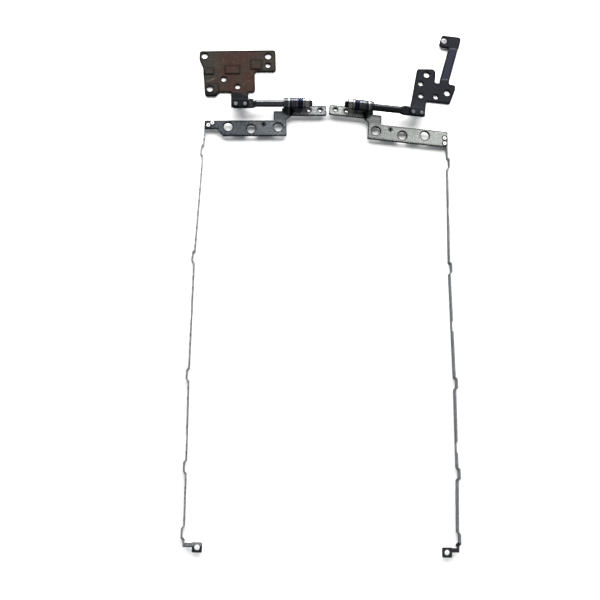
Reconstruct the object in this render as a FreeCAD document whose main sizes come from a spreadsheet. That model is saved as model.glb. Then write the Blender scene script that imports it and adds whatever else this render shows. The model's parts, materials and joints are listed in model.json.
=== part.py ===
import FreeCAD, Part
import math
import os
import re
import Sketcher

# A pair of laptop hinges lying open on a table, base plates at the back and screen rails in front.
# Each hinge is drawn about its own axis: X along the axis towards the nut, Y towards the base plate,
# Z up, with the origin on the axis at the ear's inner face. The right hinge is the left one's mirror
# image, apart from its base plate and the outer end of its screen bracket.

doc = FreeCAD.newDocument("laptop_hinges")
sheet = doc.addObject("Spreadsheet::Sheet", "dims")

SIZES = {
    # Where the two hinges lie on the table
    "left_x": "-20.0",
    "left_y": "88.85",
    "left_angle": "1.75",
    "foot_gap": "1.67",
    "right_y": "88.55",
    "right_angle": "-4.75",
    # Shaft
    "shaft_diameter": "3.5",
    "shaft_clearance": "0.05",
    "collar_diameter": "5.2",
    "collar_width": "0.9",
    "rod_length": "13.6",
    "tongue_taper": "1.8",
    "tongue_margin": "1.7",
    "tongue_width": "4.4",
    "tongue_thickness": "1.5",
    "tongue_corner": "0.6",
    "tongue_relief": "0.1",
    "flat_width": "2.6",
    "thread_diameter": "3.0",
    "thread_end": "1.6",
    "end_chamfer": "0.3",
    # Washers, springs and nut, in order along the shaft
    "stack_diameter": "5.7",
    "friction_washer": "0.9",
    "stop_washer": "1.2",
    "detent_washer": "1.4",
    "spring_sheet": "0.42",
    "spring_cone": "0.16",
    "end_washer": "1.0",
    "nut_flats": "5.5",
    "nut_height": "2.4",
    "nut_bevel": "0.3",
    "nut_clearance": "0.125",
    "key_clearance": "0.05",
    "stop_lug_reach": "4.0",
    "stop_lug_width": "1.6",
    "stop_gap": "0.15",
    # Screen bracket
    "bracket_sheet": "1.2",
    "plate_rise": "2.4",
    "neck_joggle": "0.5",
    "ear_thickness": "2.0",
    "ear_radius": "2.9",
    "ear_fillet": "0.35",
    "plate_outer": "43.5",
    "plate_inner": "2.4",
    "plate_set": "0.55",
    "plate_width": "8.0",
    "plate_corner": "0.6",
    "joggle_back": "5.2",
    "joggle_run": "1.6",
    "neck_outer": "8.75",
    "neck_back": "2.6",
    "gusset_outer": "4.4",
    "gusset_back": "0.95",
    "foot_length": "18.2",
    "foot_back": "0.35",
    "foot_width": "5.1",
    "foot_corner": "0.8",
    "narrow_length": "9.2",
    "narrow_slant": "2.9",
    "narrow_width": "4.25",
    "lid_hole": "4.5",
    "lid_hole_bevel": "0.2",
    "lid_hole_near": "6.5",
    "lid_hole_near_in": "3.5",
    "lid_hole_middle": "20.2",
    "lid_hole_middle_in": "4.45",
    "lid_hole_far_inset": "11.8",
    "lid_hole_far_in": "3.25",
    "pilot_hole": "1.8",
    "pilot_x": "13.85",
    "pilot_in": "1.95",
    "foot_hole": "2.35",
    "foot_hole_inset": "3.25",
    "foot_hole_pitch": "5.7",
    "foot_hole_y": "1.8",
    # Eyelets that fix the rail under the plate's outer end
    "eyelet_diameter": "1.3",
    "eyelet_bore": "0.8",
    "eyelet_flange": "1.9",
    "eyelet_lip": "0.25",
    "left_eyelet_inset": "1.9",
    "left_eyelet_in": "2.45",
    "left_eyelet_step": "1.95",
    "left_eyelet_rise": "1.3",
    "right_eyelet_inset": "1.5",
    "right_eyelet_in": "3.55",
    "right_eyelet_drop": "2.8",
    # Screen rail, measured along its own length from the first eyelet
    "rail_sheet": "0.6",
    "rail_height": "4.0",
    "rail_reach": "2.0",
    "rail_leaf_margin": "1.1",
    "rail_rise_start": "16.4",
    "rail_rise_end": "100.0",
    "rail_end_web": "1.4",
    "left_rail_angle": "-3.28",
    "left_bow_second": "1.95",
    "left_bow_third": "1.65",
    "left_bow_fourth": "0.65",
    "right_rail_angle": "4.17",
    "right_bow_second": "-0.55",
    "right_bow_third": "0.6",
    "right_bow_fourth": "0.75",
    "bump_depth": "1.0",
    "bump_length": "6.4",
    "bump_first": "12.7",
    "bump_to_second": "54.9",
    "bump_to_third": "57.25",
    "bump_to_fourth": "42.75",
    "bump_to_fifth": "29.55",
    "bump_to_end": "5.95",
    "notch_floor": "1.9",
    "notch_length": "5.0",
    "notch_from_first": "25.3",
    "notch_from_second": "29.4",
    "notch_from_third": "30.35",
    "tab_neck": "1.9",
    "tab_pad_width": "4.6",
    "tab_pad_back": "0.3",
    "tab_pad_length": "4.5",
    "tab_corner": "0.6",
    "tab_hole": "2.45",
    "left_tab_reach": "6.6",
    "right_tab_reach": "5.7",
    # Folded sheet of both base plates
    "base_sheet": "1.2",
    "base_bend": "0.6",
    "leaf_overhang": "0.4",
    "leaf_back": "1.8",
    "left_leaf_start": "2.15",
    "left_leaf_length": "8.6",
    "right_leaf_start": "3.2",
    "right_leaf_length": "7.6",
    "right_neck_shift": "2.1",
    "fold_line": "9.4",
    "base_large_hole": "3.3",
    "base_small_hole": "2.65",
    "emboss_height": "0.4",
    # Rivets through the leaf and the tongue
    "rivet_diameter": "1.5",
    "rivet_head": "1.9",
    "rivet_dome": "0.25",
    "rivet_edge": "1.0",
    "left_rivet_inset": "1.8",
    "left_rivet_pitch": "4.5",
    "right_rivet_inset": "1.6",
    "right_rivet_pitch": "4.2",
    # Left base plate
    "lbase_back_inner": "32.2",
    "lbase_back_drop": "0.8",
    "lbase_outer": "45.8",
    "lbase_corner": "1.4",
    "lbase_inner": "6.8",
    "lbase_tip_width": "11.8",
    "lbase_body_inner": "17.75",
    "lbase_front_set": "0.3",
    "lbase_flare_in": "4.6",
    "lbase_flare_run": "4.0",
    "lbase_waist_in": "1.7",
    "lbase_taper": "0.9",
    "lbase_boss_reach": "2.15",
    "lbase_boss_width": "5.5",
    "lbase_boss_run": "1.8",
    "lbase_boss_step": "1.2",
    "lbase_boss_depth": "6.4",
    "hole_a_across": "2.55",
    "hole_a_in": "2.55",
    "hole_b_across": "3.8",
    "hole_c_across": "4.1",
    "hole_c_in": "8.45",
    "hole_d_across": "15.9",
    "hole_d_in": "6.95",
    "hole_e_across": "8.85",
    "hole_e_in": "2.9",
    "hole_f_across": "2.45",
    "hole_f_in": "3.8",
    "pad_a_across": "11.4",
    "pad_a_in": "0.8",
    "pad_a_width": "7.5",
    "pad_a_depth": "4.4",
    "pad_b_across": "0.8",
    "pad_b_in": "3.65",
    "pad_b_width": "5.4",
    "pad_b_depth": "4.9",
    "pad_c_across": "4.8",
    "pad_c_in": "2.4",
    "pad_c_width": "4.6",
    "pad_c_depth": "3.4",
    # Right base plate
    "rbase_back_lean": "1.8",
    "rbase_depth": "17.3",
    "rbase_lobe_width": "9.8",
    "rbase_lobe_rise": "1.1",
    "rbase_lobe_corner": "2.0",
    "rbase_corner": "1.0",
    "rbase_slot_lean": "0.3",
    "rbase_slot_width": "2.7",
    "rbase_slot_depth": "6.7",
    "rbase_shoulder_width": "8.3",
    "rbase_end_lean": "2.4",
    "rbase_end_depth": "2.5",
    "rbase_front_set": "0.1",
    "hole_g_across": "5.1",
    "hole_g_in": "2.55",
    "hole_h_across": "2.2",
    "hole_h_in": "7.9",
    "hole_i_across": "2.7",
    "hole_i_in": "2.5",
    "hole_j_across": "10.55",
    "hole_j_in": "2.85",
    "hole_k_across": "4.1",
    "hole_k_in": "2.3",
    "arm_set": "2.6",
    "arm_start": "2.4",
    "arm_root": "1.0",
    "arm_lean": "11.0",
    "arm_width": "4.7",
    "arm_rise": "1.2",
    "arm_length": "17.8",
    "end_tab_inner_reach": "4.3",
    "end_tab_outer_reach": "6.1",
    "end_tab_length": "6.4",
    "end_tab_corner": "1.4",
    "end_tab_hole_across": "2.7",
    "end_tab_hole_in": "3.7",
}

for row, (alias, number) in enumerate(SIZES.items(), start=1):
    sheet.set(f"A{row}", alias)
    sheet.set(f"B{row}", number)
    sheet.setAlias(f"B{row}", alias)
doc.recompute()


# Places that follow from the sizes, so that a piece and what it fits move together
PLACES = {
    "axis_height": "plate_rise + neck_joggle + bracket_sheet + nut_clearance + nut_flats / 2 / cos(30)",
    # Leaf, tongue and rivets, outwards along the axis
    "tongue_start": "ear_thickness + friction_washer + collar_width + rod_length + tongue_taper",
    "leaf_front": "tongue_width / 2 + leaf_overhang",
    "rivet_line": "tongue_width / 2 - rivet_edge",
    "left_leaf_inner": "tongue_start + left_leaf_start",
    "left_leaf_outer": "left_leaf_inner + left_leaf_length",
    "left_rivet_inner": "left_leaf_inner + left_rivet_inset",
    "left_rivet_outer": "left_rivet_inner + left_rivet_pitch",
    "left_tongue_end": "left_rivet_outer + tongue_margin",
    "right_leaf_inner": "tongue_start + right_leaf_start",
    "right_leaf_outer": "right_leaf_inner + right_leaf_length",
    "right_rivet_inner": "right_leaf_inner + right_rivet_inset",
    "right_rivet_outer": "right_rivet_inner + right_rivet_pitch",
    "right_tongue_end": "right_rivet_outer + tongue_margin",
    # Screen bracket
    "plate_back": "joggle_back + joggle_run + plate_set",
    "plate_front": "plate_back + plate_width",
    "narrow_start": "plate_outer - narrow_length",
    "narrow_end": "narrow_start + narrow_slant",
    "lid_hole_far": "plate_outer - lid_hole_far_inset",
    "lid_hole_near_y": "plate_back + lid_hole_near_in",
    "lid_hole_middle_y": "plate_back + lid_hole_middle_in",
    "lid_hole_far_y": "plate_back + lid_hole_far_in",
    "pilot_y": "plate_back + pilot_in",
    "foot_hole_far": "foot_length - foot_hole_inset",
    "foot_hole_near": "foot_hole_far - foot_hole_pitch",
    "left_eyelet_x": "plate_outer - left_eyelet_inset",
    "left_eyelet_y": "plate_back + left_eyelet_in",
    "right_eyelet_x": "plate_outer - right_eyelet_inset",
    "right_eyelet_y": "plate_back + right_eyelet_in",
    # Screen rail
    "bump_second": "bump_first + bump_to_second",
    "bump_third": "bump_second + bump_to_third",
    "bump_fourth": "bump_third + bump_to_fourth",
    "bump_fifth": "bump_fourth + bump_to_fifth",
    "rail_end": "bump_fifth + bump_to_end",
    "notch_first": "bump_first + notch_from_first",
    "notch_second": "bump_second + notch_from_second",
    "notch_third": "bump_third + notch_from_third",
    # Left base plate
    "lbase_back_outer": "lbase_back_inner - lbase_back_drop",
    "lbase_flare_y": "lbase_back_outer - lbase_flare_in",
    "lbase_waist": "lbase_outer - lbase_waist_in",
    "lbase_waist_y": "lbase_flare_y - lbase_flare_run",
    "lbase_arm_front": "lbase_back_inner - lbase_tip_width",
    "lbase_front": "fold_line - lbase_front_set",
    "lbase_boss_outer": "lbase_waist - lbase_taper",
    "lbase_boss_front": "lbase_front - lbase_boss_reach",
    "lbase_boss_inner": "lbase_boss_outer - lbase_boss_width",
    "lbase_boss_slope": "lbase_boss_inner - lbase_boss_run",
    "lbase_boss_edge": "lbase_boss_inner - lbase_boss_step",
    "lbase_boss_back": "lbase_boss_front + lbase_boss_depth",
    # Right base plate
    "rbase_neck": "right_leaf_inner + right_neck_shift",
    "rbase_back_inner": "rbase_neck + rbase_back_lean",
    "rbase_back_inner_y": "fold_line + rbase_depth",
    "rbase_lobe_outer": "rbase_back_inner + rbase_lobe_width",
    "rbase_lobe_outer_y": "rbase_back_inner_y + rbase_lobe_rise",
    "rbase_slot_inner": "rbase_lobe_outer - rbase_slot_lean",
    "rbase_slot_outer": "rbase_slot_inner + rbase_slot_width",
    "rbase_slot_front": "rbase_back_inner_y - rbase_slot_depth",
    "rbase_outer": "rbase_slot_outer + rbase_shoulder_width",
    "rbase_outer_y": "rbase_slot_front - rbase_end_depth",
    "rbase_outer_front": "rbase_outer - rbase_end_lean",
    "rbase_front": "fold_line + rbase_front_set",
    "arm_x": "rbase_slot_outer + arm_set",
    "arm_fold": "rbase_slot_front + arm_start",
    "arm_end": "arm_fold + arm_length",
    "end_tab_inner": "arm_x - end_tab_inner_reach",
    "end_tab_outer": "arm_x + end_tab_outer_reach",
    "end_tab_back": "arm_end + end_tab_length",
}


def cells(text):
    """Turn every size name in a formula into its cell of the sheet, and every place into its own formula."""
    def meaning(name):
        if name.group() in PLACES:
            return f"({cells(PLACES[name.group()])})"
        return f"dims.{name.group()}"

    return re.sub(r"\b[a-z]+(?:_[a-z]+)+\b", meaning, text)


def value(text):
    """The present number of a formula of size names."""
    return float(sheet.evalExpression(cells(text)))


# Levels above the axis that several pieces share
TABLE = "(-axis_height)"
BASE_TOP = "(base_sheet - axis_height)"
PLATE_UNDER = "(plate_rise - axis_height)"
PLATE_TOP = "(plate_rise + bracket_sheet - axis_height)"
NECK_UNDER = "(plate_rise + neck_joggle - axis_height)"
NECK_TOP = "(plate_rise + neck_joggle + bracket_sheet - axis_height)"
LEAF_UNDER = "(tongue_thickness / 2)"
LEAF_TOP = "(tongue_thickness / 2 + base_sheet)"

# The neck's slope; the two corners of a fold lie on its bisector, a sheet apart
NECK_SLOPE = f"atan2({LEAF_UNDER} - {TABLE}; fold_line - leaf_back)"
FOLD_SHIFT = f"base_sheet * tan({NECK_SLOPE} / 2)"

# The hinges lie foot to foot, with a gap between them
HINGE_X = {
    "left": "left_x",
    "right": "(left_x + foot_length * cos(left_angle) + foot_gap + foot_length * cos(right_angle))",
}

# Stations along the axis, from the tongue to the end of the thread
COLLAR_IN = "(-ear_thickness - friction_washer)"
COLLAR_OUT = f"({COLLAR_IN} - collar_width)"
ROD_END = f"({COLLAR_OUT} - rod_length)"
TONGUE_IN = "(-tongue_start)"
STOP_AT = "(friction_washer)"
DETENT_AT = f"({STOP_AT} + stop_washer)"
SPRING_AT = f"({DETENT_AT} + detent_washer)"
SPRING_PITCH = "(spring_sheet + spring_cone)"
END_WASHER_AT = f"({SPRING_AT} + 4 * {SPRING_PITCH})"
NUT_AT = f"({END_WASHER_AT} + end_washer)"
NUT_END = f"({NUT_AT} + nut_height)"
SHAFT_END = f"({NUT_END} + thread_end)"

parts = []


def hold(drawing, kind, index, point, text):
    """Hold a sketch point at a distance from the origin that follows a formula."""
    number = drawing.addConstraint(Sketcher.Constraint(kind, -1, 1, index, point, value(text)))
    drawing.setExpression(f"Constraints[{number}]", cells(text))


def measure(drawing, kind, index, text):
    """Give a circle or an arc a radius or diameter that follows a formula."""
    number = drawing.addConstraint(Sketcher.Constraint(kind, index, value(text)))
    drawing.setExpression(f"Constraints[{number}]", cells(text))


class Piece:
    """One sub-part as a body, drawn in the frame of its hinge and mirrored for the right one."""

    def __init__(self, side, name):
        self.side = side
        self.body = doc.addObject("PartDesign::Body", f"{side}_{name}")
        self.body.Label = f"{side}_{name}"
        self.place(HINGE_X[side], f"{side}_y", f"{side}_angle")
        parts.append(self.body)

    def place(self, x, y, turn):
        """Stand the piece's frame on the table plan, at the height of the axis."""
        spot = FreeCAD.Vector(value(x), value(y), value("axis_height"))
        upright = FreeCAD.Rotation(FreeCAD.Vector(0, 0, 1), value(turn))
        self.body.Placement = FreeCAD.Placement(spot, upright)
        self.body.setExpression("Placement.Base.x", cells(x))
        self.body.setExpression("Placement.Base.y", cells(y))
        self.body.setExpression("Placement.Base.z", cells("axis_height"))
        self.body.setExpression("Placement.Rotation.Angle", cells(turn))

    def along(self, text):
        """A formula along the axis, mirrored on the right hinge."""
        return text if self.side == "left" else f"-({text})"

    def sketch(self, name, role, level="0"):
        """An empty sketch on one of the body's own planes, moved along that plane's normal."""
        drawing = self.body.newObject("Sketcher::SketchObject", f"{self.body.Name}_{name}")
        plane = next(item for item in self.body.Origin.OriginFeatures if item.Role == role)
        drawing.AttachmentSupport = (plane, [""])
        drawing.MapMode = "FlatFace"
        level = self.along(level) if role == "YZ_Plane" else level
        drawing.AttachmentOffset = FreeCAD.Placement(FreeCAD.Vector(0, 0, value(level)), FreeCAD.Rotation())
        drawing.setExpression("AttachmentOffset.Base.z", cells(level))
        return drawing

    def role(self, drawing):
        """The plane that a sketch lies on."""
        return drawing.AttachmentSupport[0][0].Role

    def flat(self, drawing, point):
        """A sketch point as two formulas, with the axis direction mirrored where it is drawn."""
        first, second = point
        return point if self.role(drawing) == "YZ_Plane" else (self.along(first), second)

    def polygon(self, drawing, points):
        """A closed line through points, each held by its two distances from the origin."""
        points = [self.flat(drawing, point) for point in points]
        spots = [FreeCAD.Vector(value(x), value(y), 0) for x, y in points]
        first = drawing.GeometryCount
        count = len(points)
        for index in range(count):
            drawing.addGeometry(Part.LineSegment(spots[index], spots[(index + 1) % count]))
        for index, (x, y) in enumerate(points):
            here = first + index
            following = first + (index + 1) % count
            drawing.addConstraint(Sketcher.Constraint("Coincident", here, 2, following, 1))
            hold(drawing, "DistanceX", here, 1, x)
            hold(drawing, "DistanceY", here, 1, y)

    def rectangle(self, drawing, low, high):
        """A rectangle between two opposite corners."""
        self.polygon(drawing, [low, (high[0], low[1]), high, (low[0], high[1])])

    def circle(self, drawing, point, diameter):
        """A circle held by its centre and its diameter."""
        x, y = self.flat(drawing, point)
        centre = FreeCAD.Vector(value(x), value(y), 0)
        index = drawing.addGeometry(Part.Circle(centre, FreeCAD.Vector(0, 0, 1), value(diameter) / 2))
        hold(drawing, "DistanceX", index, 3, x)
        hold(drawing, "DistanceY", index, 3, y)
        measure(drawing, "Diameter", index, diameter)

    def double_d(self, drawing, diameter, width):
        """A round hole with two flats, centred on the axis."""
        radius = value(diameter) / 2
        half = value(width) / 2
        turn = math.asin(half / radius)
        reach = radius * math.cos(turn)
        ring = Part.Circle(FreeCAD.Vector(0, 0, 0), FreeCAD.Vector(0, 0, 1), radius)
        right = drawing.addGeometry(Part.ArcOfCircle(ring, -turn, turn))
        top = drawing.addGeometry(Part.LineSegment(FreeCAD.Vector(reach, half, 0), FreeCAD.Vector(-reach, half, 0)))
        left = drawing.addGeometry(Part.ArcOfCircle(ring, math.pi - turn, math.pi + turn))
        low = drawing.addGeometry(Part.LineSegment(FreeCAD.Vector(-reach, -half, 0), FreeCAD.Vector(reach, -half, 0)))
        for here, following in ((right, top), (top, left), (left, low), (low, right)):
            drawing.addConstraint(Sketcher.Constraint("Coincident", here, 2, following, 1))
        for arc in (right, left):
            drawing.addConstraint(Sketcher.Constraint("Coincident", arc, 3, -1, 1))
        for line in (top, low):
            drawing.addConstraint(Sketcher.Constraint("Horizontal", line))
        hold(drawing, "DistanceY", top, 1, f"({width}) / 2")
        hold(drawing, "DistanceY", low, 1, f"-({width}) / 2")
        drawing.addConstraint(Sketcher.Constraint("Equal", right, left))
        measure(drawing, "Diameter", right, diameter)

    def settle(self, item):
        """Recompute, and let the feature stand as the body's shape."""
        self.body.Tip = item
        doc.recompute()
        return item

    def feature(self, kind, drawing):
        """A sketch-based feature at the end of the body's history."""
        item = self.body.newObject(f"PartDesign::{kind}", f"{drawing.Name}_{kind.lower()}")
        item.Profile = drawing
        return item

    def pad(self, drawing, length):
        """Add the sketch's area over a length, upwards or towards the nut."""
        item = self.feature("Pad", drawing)
        item.setExpression("Length", cells(length))
        item.Reversed = self.role(drawing) == "YZ_Plane" and self.side == "right"
        return self.settle(item)

    def pocket(self, drawing, length=None):
        """Cut the sketch's area: right through, or over a length upwards or towards the nut."""
        before = self.body.Shape.Volume
        item = self.feature("Pocket", drawing)
        if length is None:
            item.SideType = "Two sides"
            item.Type = "ThroughAll"
            item.Type2 = "ThroughAll"
        else:
            item.setExpression("Length", cells(length))
            item.Reversed = self.role(drawing) == "XY_Plane" or self.side == "left"
        self.settle(item)
        if self.body.Shape.Volume > before - 1e-6:
            raise RuntimeError(f"{item.Name} cuts nothing")
        return item

    def turned(self, kind, drawing):
        """Revolve a sketch about the hinge axis, as a Revolution or a Groove."""
        item = self.feature(kind, drawing)
        axis = next(one for one in self.body.Origin.OriginFeatures if one.Role == "X_Axis")
        item.ReferenceAxis = (axis, [""])
        item.Angle = 360
        return self.settle(item)

    def dressed(self, kind, names, size):
        """Round or bevel edges of the body as it stands."""
        base = self.body.Tip
        item = self.body.newObject(f"PartDesign::{kind}", f"{base.Name}_{kind.lower()}")
        item.Base = (base, names)
        item.setExpression("Radius" if kind == "Fillet" else "Size", cells(size))
        return self.settle(item)

    def edges(self, **near):
        """Names of straight edges whose two ends lie at the given coordinates."""
        names = []
        for index, edge in enumerate(self.body.Tip.Shape.Edges, start=1):
            ends = [vertex.Point for vertex in edge.Vertexes]
            gaps = [abs(getattr(end, letter) - place) for end in ends for letter, place in near.items()]
            if len(ends) == 2 and max(gaps) < 1e-4:
                names.append(f"Edge{index}")
        return names

    def round_corners(self, points, size):
        """Round the upright edges that stand on plan points."""
        names = []
        for x, y in points:
            names += self.edges(x=value(self.along(x)), y=value(y))
        return self.dressed("Fillet", names, size)

    def bevel_rims(self, diameter, level, size):
        """Bevel the round rims of one diameter at one level."""
        names = []
        for index, edge in enumerate(self.body.Tip.Shape.Edges, start=1):
            curve = edge.Curve
            if not isinstance(curve, Part.Circle):
                continue
            if abs(curve.Radius - value(diameter) / 2) < 1e-4 and abs(curve.Center.z - value(level)) < 1e-4:
                names.append(f"Edge{index}")
        return self.dressed("Chamfer", names, size)


def base_neck(piece, shift="0"):
    """The sloped neck and the leaf of a base plate: one folded strip with true bends."""
    outer = f"{piece.side}_leaf_outer + {shift}"
    inner = f"{piece.side}_leaf_inner"
    points = [
        ("-leaf_front", LEAF_UNDER),
        (f"leaf_back - {FOLD_SHIFT}", LEAF_UNDER),
        (f"fold_line - {FOLD_SHIFT}", TABLE),
        ("fold_line + base_sheet", TABLE),
        ("fold_line + base_sheet", BASE_TOP),
        ("fold_line", BASE_TOP),
        ("leaf_back", LEAF_TOP),
        ("-leaf_front", LEAF_TOP),
    ]
    section = piece.sketch("neck", "YZ_Plane", f"-({outer})")
    piece.polygon(section, points)
    piece.pad(section, f"{outer} - {inner}")
    inside = piece.edges(y=value(points[1][0]), z=value(LEAF_UNDER))
    inside += piece.edges(y=value("fold_line"), z=value(BASE_TOP))
    piece.dressed("Fillet", inside, "base_bend")
    outside = piece.edges(y=value("leaf_back"), z=value(LEAF_TOP))
    outside += piece.edges(y=value(points[2][0]), z=value(TABLE))
    piece.dressed("Fillet", outside, "base_bend + base_sheet")


def slant_neck(piece, shift):
    """Cut both sides of the neck aslant, so that the plate lies further out than the leaf."""
    outer = f"-{piece.side}_leaf_outer"
    inner = f"-{piece.side}_leaf_inner"
    end = "fold_line + base_sheet"
    waste = piece.sketch("waste", "XY_Plane")
    piece.rectangle(waste, (f"{outer} - {end}", f"-leaf_front - {end}"), (f"{inner} + {end}", f"{end} + {end}"))
    piece.polygon(waste, [
        (outer, "-leaf_front"),
        (inner, "-leaf_front"),
        (inner, "leaf_back"),
        (f"{inner} - {shift}", "fold_line"),
        (f"{inner} - {shift}", end),
        (f"{outer} - {shift}", end),
        (f"{outer} - {shift}", "fold_line"),
        (outer, "leaf_back"),
    ])
    piece.pocket(waste)


def half_shear(piece, name, points, height):
    """Press a patch of the flat sheet upwards by less than its thickness."""
    raised = piece.sketch(f"{name}_top", "XY_Plane", BASE_TOP)
    piece.polygon(raised, points)
    piece.pad(raised, height)
    hollow = piece.sketch(f"{name}_under", "XY_Plane", TABLE)
    piece.polygon(hollow, points)
    piece.pocket(hollow, height)


def base_holes(piece, holes):
    """Screw holes through the flat and rivet holes through the leaf."""
    drawing = piece.sketch("holes", "XY_Plane")
    for x, y, diameter in holes:
        piece.circle(drawing, (f"-({x})", y), diameter)
    for place in ("outer", "inner"):
        spot = (f"-{piece.side}_rivet_{place}", "-rivet_line")
        piece.circle(drawing, spot, "rivet_diameter + 2 * key_clearance")
    piece.pocket(drawing)


def left_base_plate():
    piece = Piece("left", "base_plate")
    base_neck(piece)
    outline = [
        ("-lbase_outer", "lbase_back_outer"),
        ("-lbase_outer", "lbase_flare_y"),
        ("-lbase_waist", "lbase_waist_y"),
        ("-lbase_boss_outer", "lbase_boss_front"),
        ("-lbase_boss_inner", "lbase_boss_front"),
        ("-lbase_boss_slope", "lbase_front"),
        ("-left_leaf_outer", "lbase_front"),
        ("-left_leaf_outer", "fold_line + base_sheet / 2"),
        ("-left_leaf_inner", "fold_line + base_sheet / 2"),
        ("-left_leaf_inner", "lbase_front"),
        ("-lbase_body_inner", "lbase_front"),
        ("-lbase_body_inner", "lbase_arm_front"),
        ("-lbase_inner", "lbase_arm_front"),
        ("-lbase_inner", "lbase_back_inner"),
    ]
    plan = piece.sketch("plan", "XY_Plane", TABLE)
    piece.polygon(plan, outline)
    piece.pad(plan, "base_sheet")
    slope = "(lbase_front - lbase_boss_front) / (lbase_boss_inner - lbase_boss_slope)"
    lean = "(lbase_waist - lbase_boss_outer) / (lbase_waist_y - lbase_boss_front)"
    boss = [
        outline[3],
        outline[4],
        ("-lbase_boss_edge", f"lbase_boss_front + (lbase_boss_inner - lbase_boss_edge) * {slope}"),
        ("-lbase_boss_edge", "lbase_boss_back"),
        (f"-lbase_boss_outer - (lbase_boss_back - lbase_boss_front) * {lean}", "lbase_boss_back"),
    ]
    half_shear(piece, "boss", boss, "emboss_height")
    pads = (
        ("pad_a", "lbase_body_inner + pad_a_across", "lbase_arm_front + pad_a_in"),
        ("pad_b", "lbase_body_inner - pad_b_across", "lbase_arm_front + pad_b_in"),
        ("pad_c", "lbase_outer - pad_c_across", "lbase_waist_y - pad_c_in"),
    )
    for name, x, y in pads:
        low = f"{y} - {name}_depth / 2"
        high = f"{y} + {name}_depth / 2"
        outer = f"-({x}) - {name}_width / 2"
        inner = f"-({x}) + {name}_width / 2"
        half_shear(piece, name, [(outer, low), (inner, low), (inner, high), (outer, high)], "emboss_height")
    piece.round_corners([outline[index] for index in (0, 3, 10, 11, 12, 13)], "lbase_corner")
    holes = [
        ("lbase_outer - hole_a_across", "lbase_back_outer - hole_a_in", "base_large_hole"),
        ("lbase_inner + hole_b_across", "lbase_back_outer - hole_a_in", "base_large_hole"),
        ("lbase_inner + hole_c_across", "lbase_back_inner - hole_c_in", "base_small_hole"),
        ("lbase_body_inner + hole_d_across", "lbase_front + hole_d_in", "base_small_hole"),
        ("lbase_body_inner + hole_e_across", "lbase_front + hole_e_in", "base_small_hole"),
        ("lbase_boss_outer - hole_f_across", "lbase_boss_front + hole_f_in", "base_large_hole"),
    ]
    base_holes(piece, holes)


def right_base_plate():
    piece = Piece("right", "base_plate")
    base_neck(piece, "right_neck_shift")
    slant_neck(piece, "right_neck_shift")
    half_width = "arm_width / 2 * cos(arm_lean)"
    half_step = "arm_width / 2 * sin(arm_lean)"
    outline = [
        ("-rbase_neck", "fold_line + base_sheet / 2"),
        ("-rbase_back_inner", "rbase_back_inner_y"),
        ("-rbase_lobe_outer", "rbase_lobe_outer_y"),
        ("-rbase_slot_inner", "rbase_slot_front"),
        ("-rbase_slot_outer", "rbase_slot_front"),
        (f"-arm_x + {half_width}", f"arm_fold + {half_step}"),
        (f"-arm_x - {half_width}", f"arm_fold - {half_step}"),
        (f"-arm_x - {half_width}", "rbase_slot_front"),
        ("-rbase_outer", "rbase_slot_front"),
        ("-rbase_outer", "rbase_outer_y"),
        ("-rbase_outer_front", "rbase_front"),
        ("-right_leaf_outer - right_neck_shift", "rbase_front"),
        ("-right_leaf_outer - right_neck_shift", "fold_line + base_sheet / 2"),
    ]
    plan = piece.sketch("plan", "XY_Plane", TABLE)
    piece.polygon(plan, outline)
    piece.pad(plan, "base_sheet")
    piece.round_corners([outline[2]], "rbase_lobe_corner")
    piece.round_corners([outline[index] for index in (1, 3, 4, 7, 8, 10)], "rbase_corner")

    # The arm leaves the plate at a lean and climbs to the end tab, so its section is drawn upright along it
    arm = piece.sketch("arm", "YZ_Plane")
    start = piece.along(f"-arm_x - {half_width}")
    back = f"arm_fold - {half_step}"
    tilt = FreeCAD.Rotation(FreeCAD.Vector(0, 1, 0), value("-arm_lean"))
    arm.AttachmentOffset = FreeCAD.Placement(FreeCAD.Vector(value(back), 0, value(start)), tilt)
    arm.setExpression("AttachmentOffset.Base.x", cells(back))
    arm.setExpression("AttachmentOffset.Base.z", cells(start))
    run = "(arm_end - arm_fold) / cos(arm_lean)"
    points = [
        ("-arm_root", TABLE),
        ("0", TABLE),
        (run, f"{TABLE} + arm_rise"),
        (f"{run} + arm_root", f"{TABLE} + arm_rise"),
        (f"{run} + arm_root", f"{BASE_TOP} + arm_rise"),
        (run, f"{BASE_TOP} + arm_rise"),
        ("0", BASE_TOP),
        ("-arm_root", BASE_TOP),
    ]
    piece.polygon(arm, points)
    piece.pad(arm, "arm_width")

    drift = "(end_tab_back - arm_end) * tan(arm_lean)"
    corners = [
        ("-end_tab_inner", "arm_end"),
        (f"-end_tab_inner - {drift}", "end_tab_back"),
        (f"-end_tab_outer - {drift}", "end_tab_back"),
        ("-end_tab_outer", "arm_end"),
    ]
    tab = piece.sketch("tab", "XY_Plane", f"{TABLE} + arm_rise")
    piece.polygon(tab, corners)
    piece.pad(tab, "base_sheet")
    piece.round_corners(corners[:3], "end_tab_corner")
    holes = [
        ("rbase_back_inner + hole_g_across", "rbase_back_inner_y - hole_g_in", "base_large_hole"),
        ("rbase_back_inner + hole_h_across", "rbase_back_inner_y - hole_h_in", "base_small_hole"),
        ("rbase_back_inner + hole_i_across", "rbase_front + hole_i_in", "base_small_hole"),
        ("rbase_back_inner + hole_j_across", "rbase_front + hole_j_in", "base_small_hole"),
        ("rbase_outer - hole_k_across", "rbase_outer_y - hole_k_in", "base_large_hole"),
        ("end_tab_inner + end_tab_hole_across", "arm_end + end_tab_hole_in", "base_large_hole"),
    ]
    base_holes(piece, holes)


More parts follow.
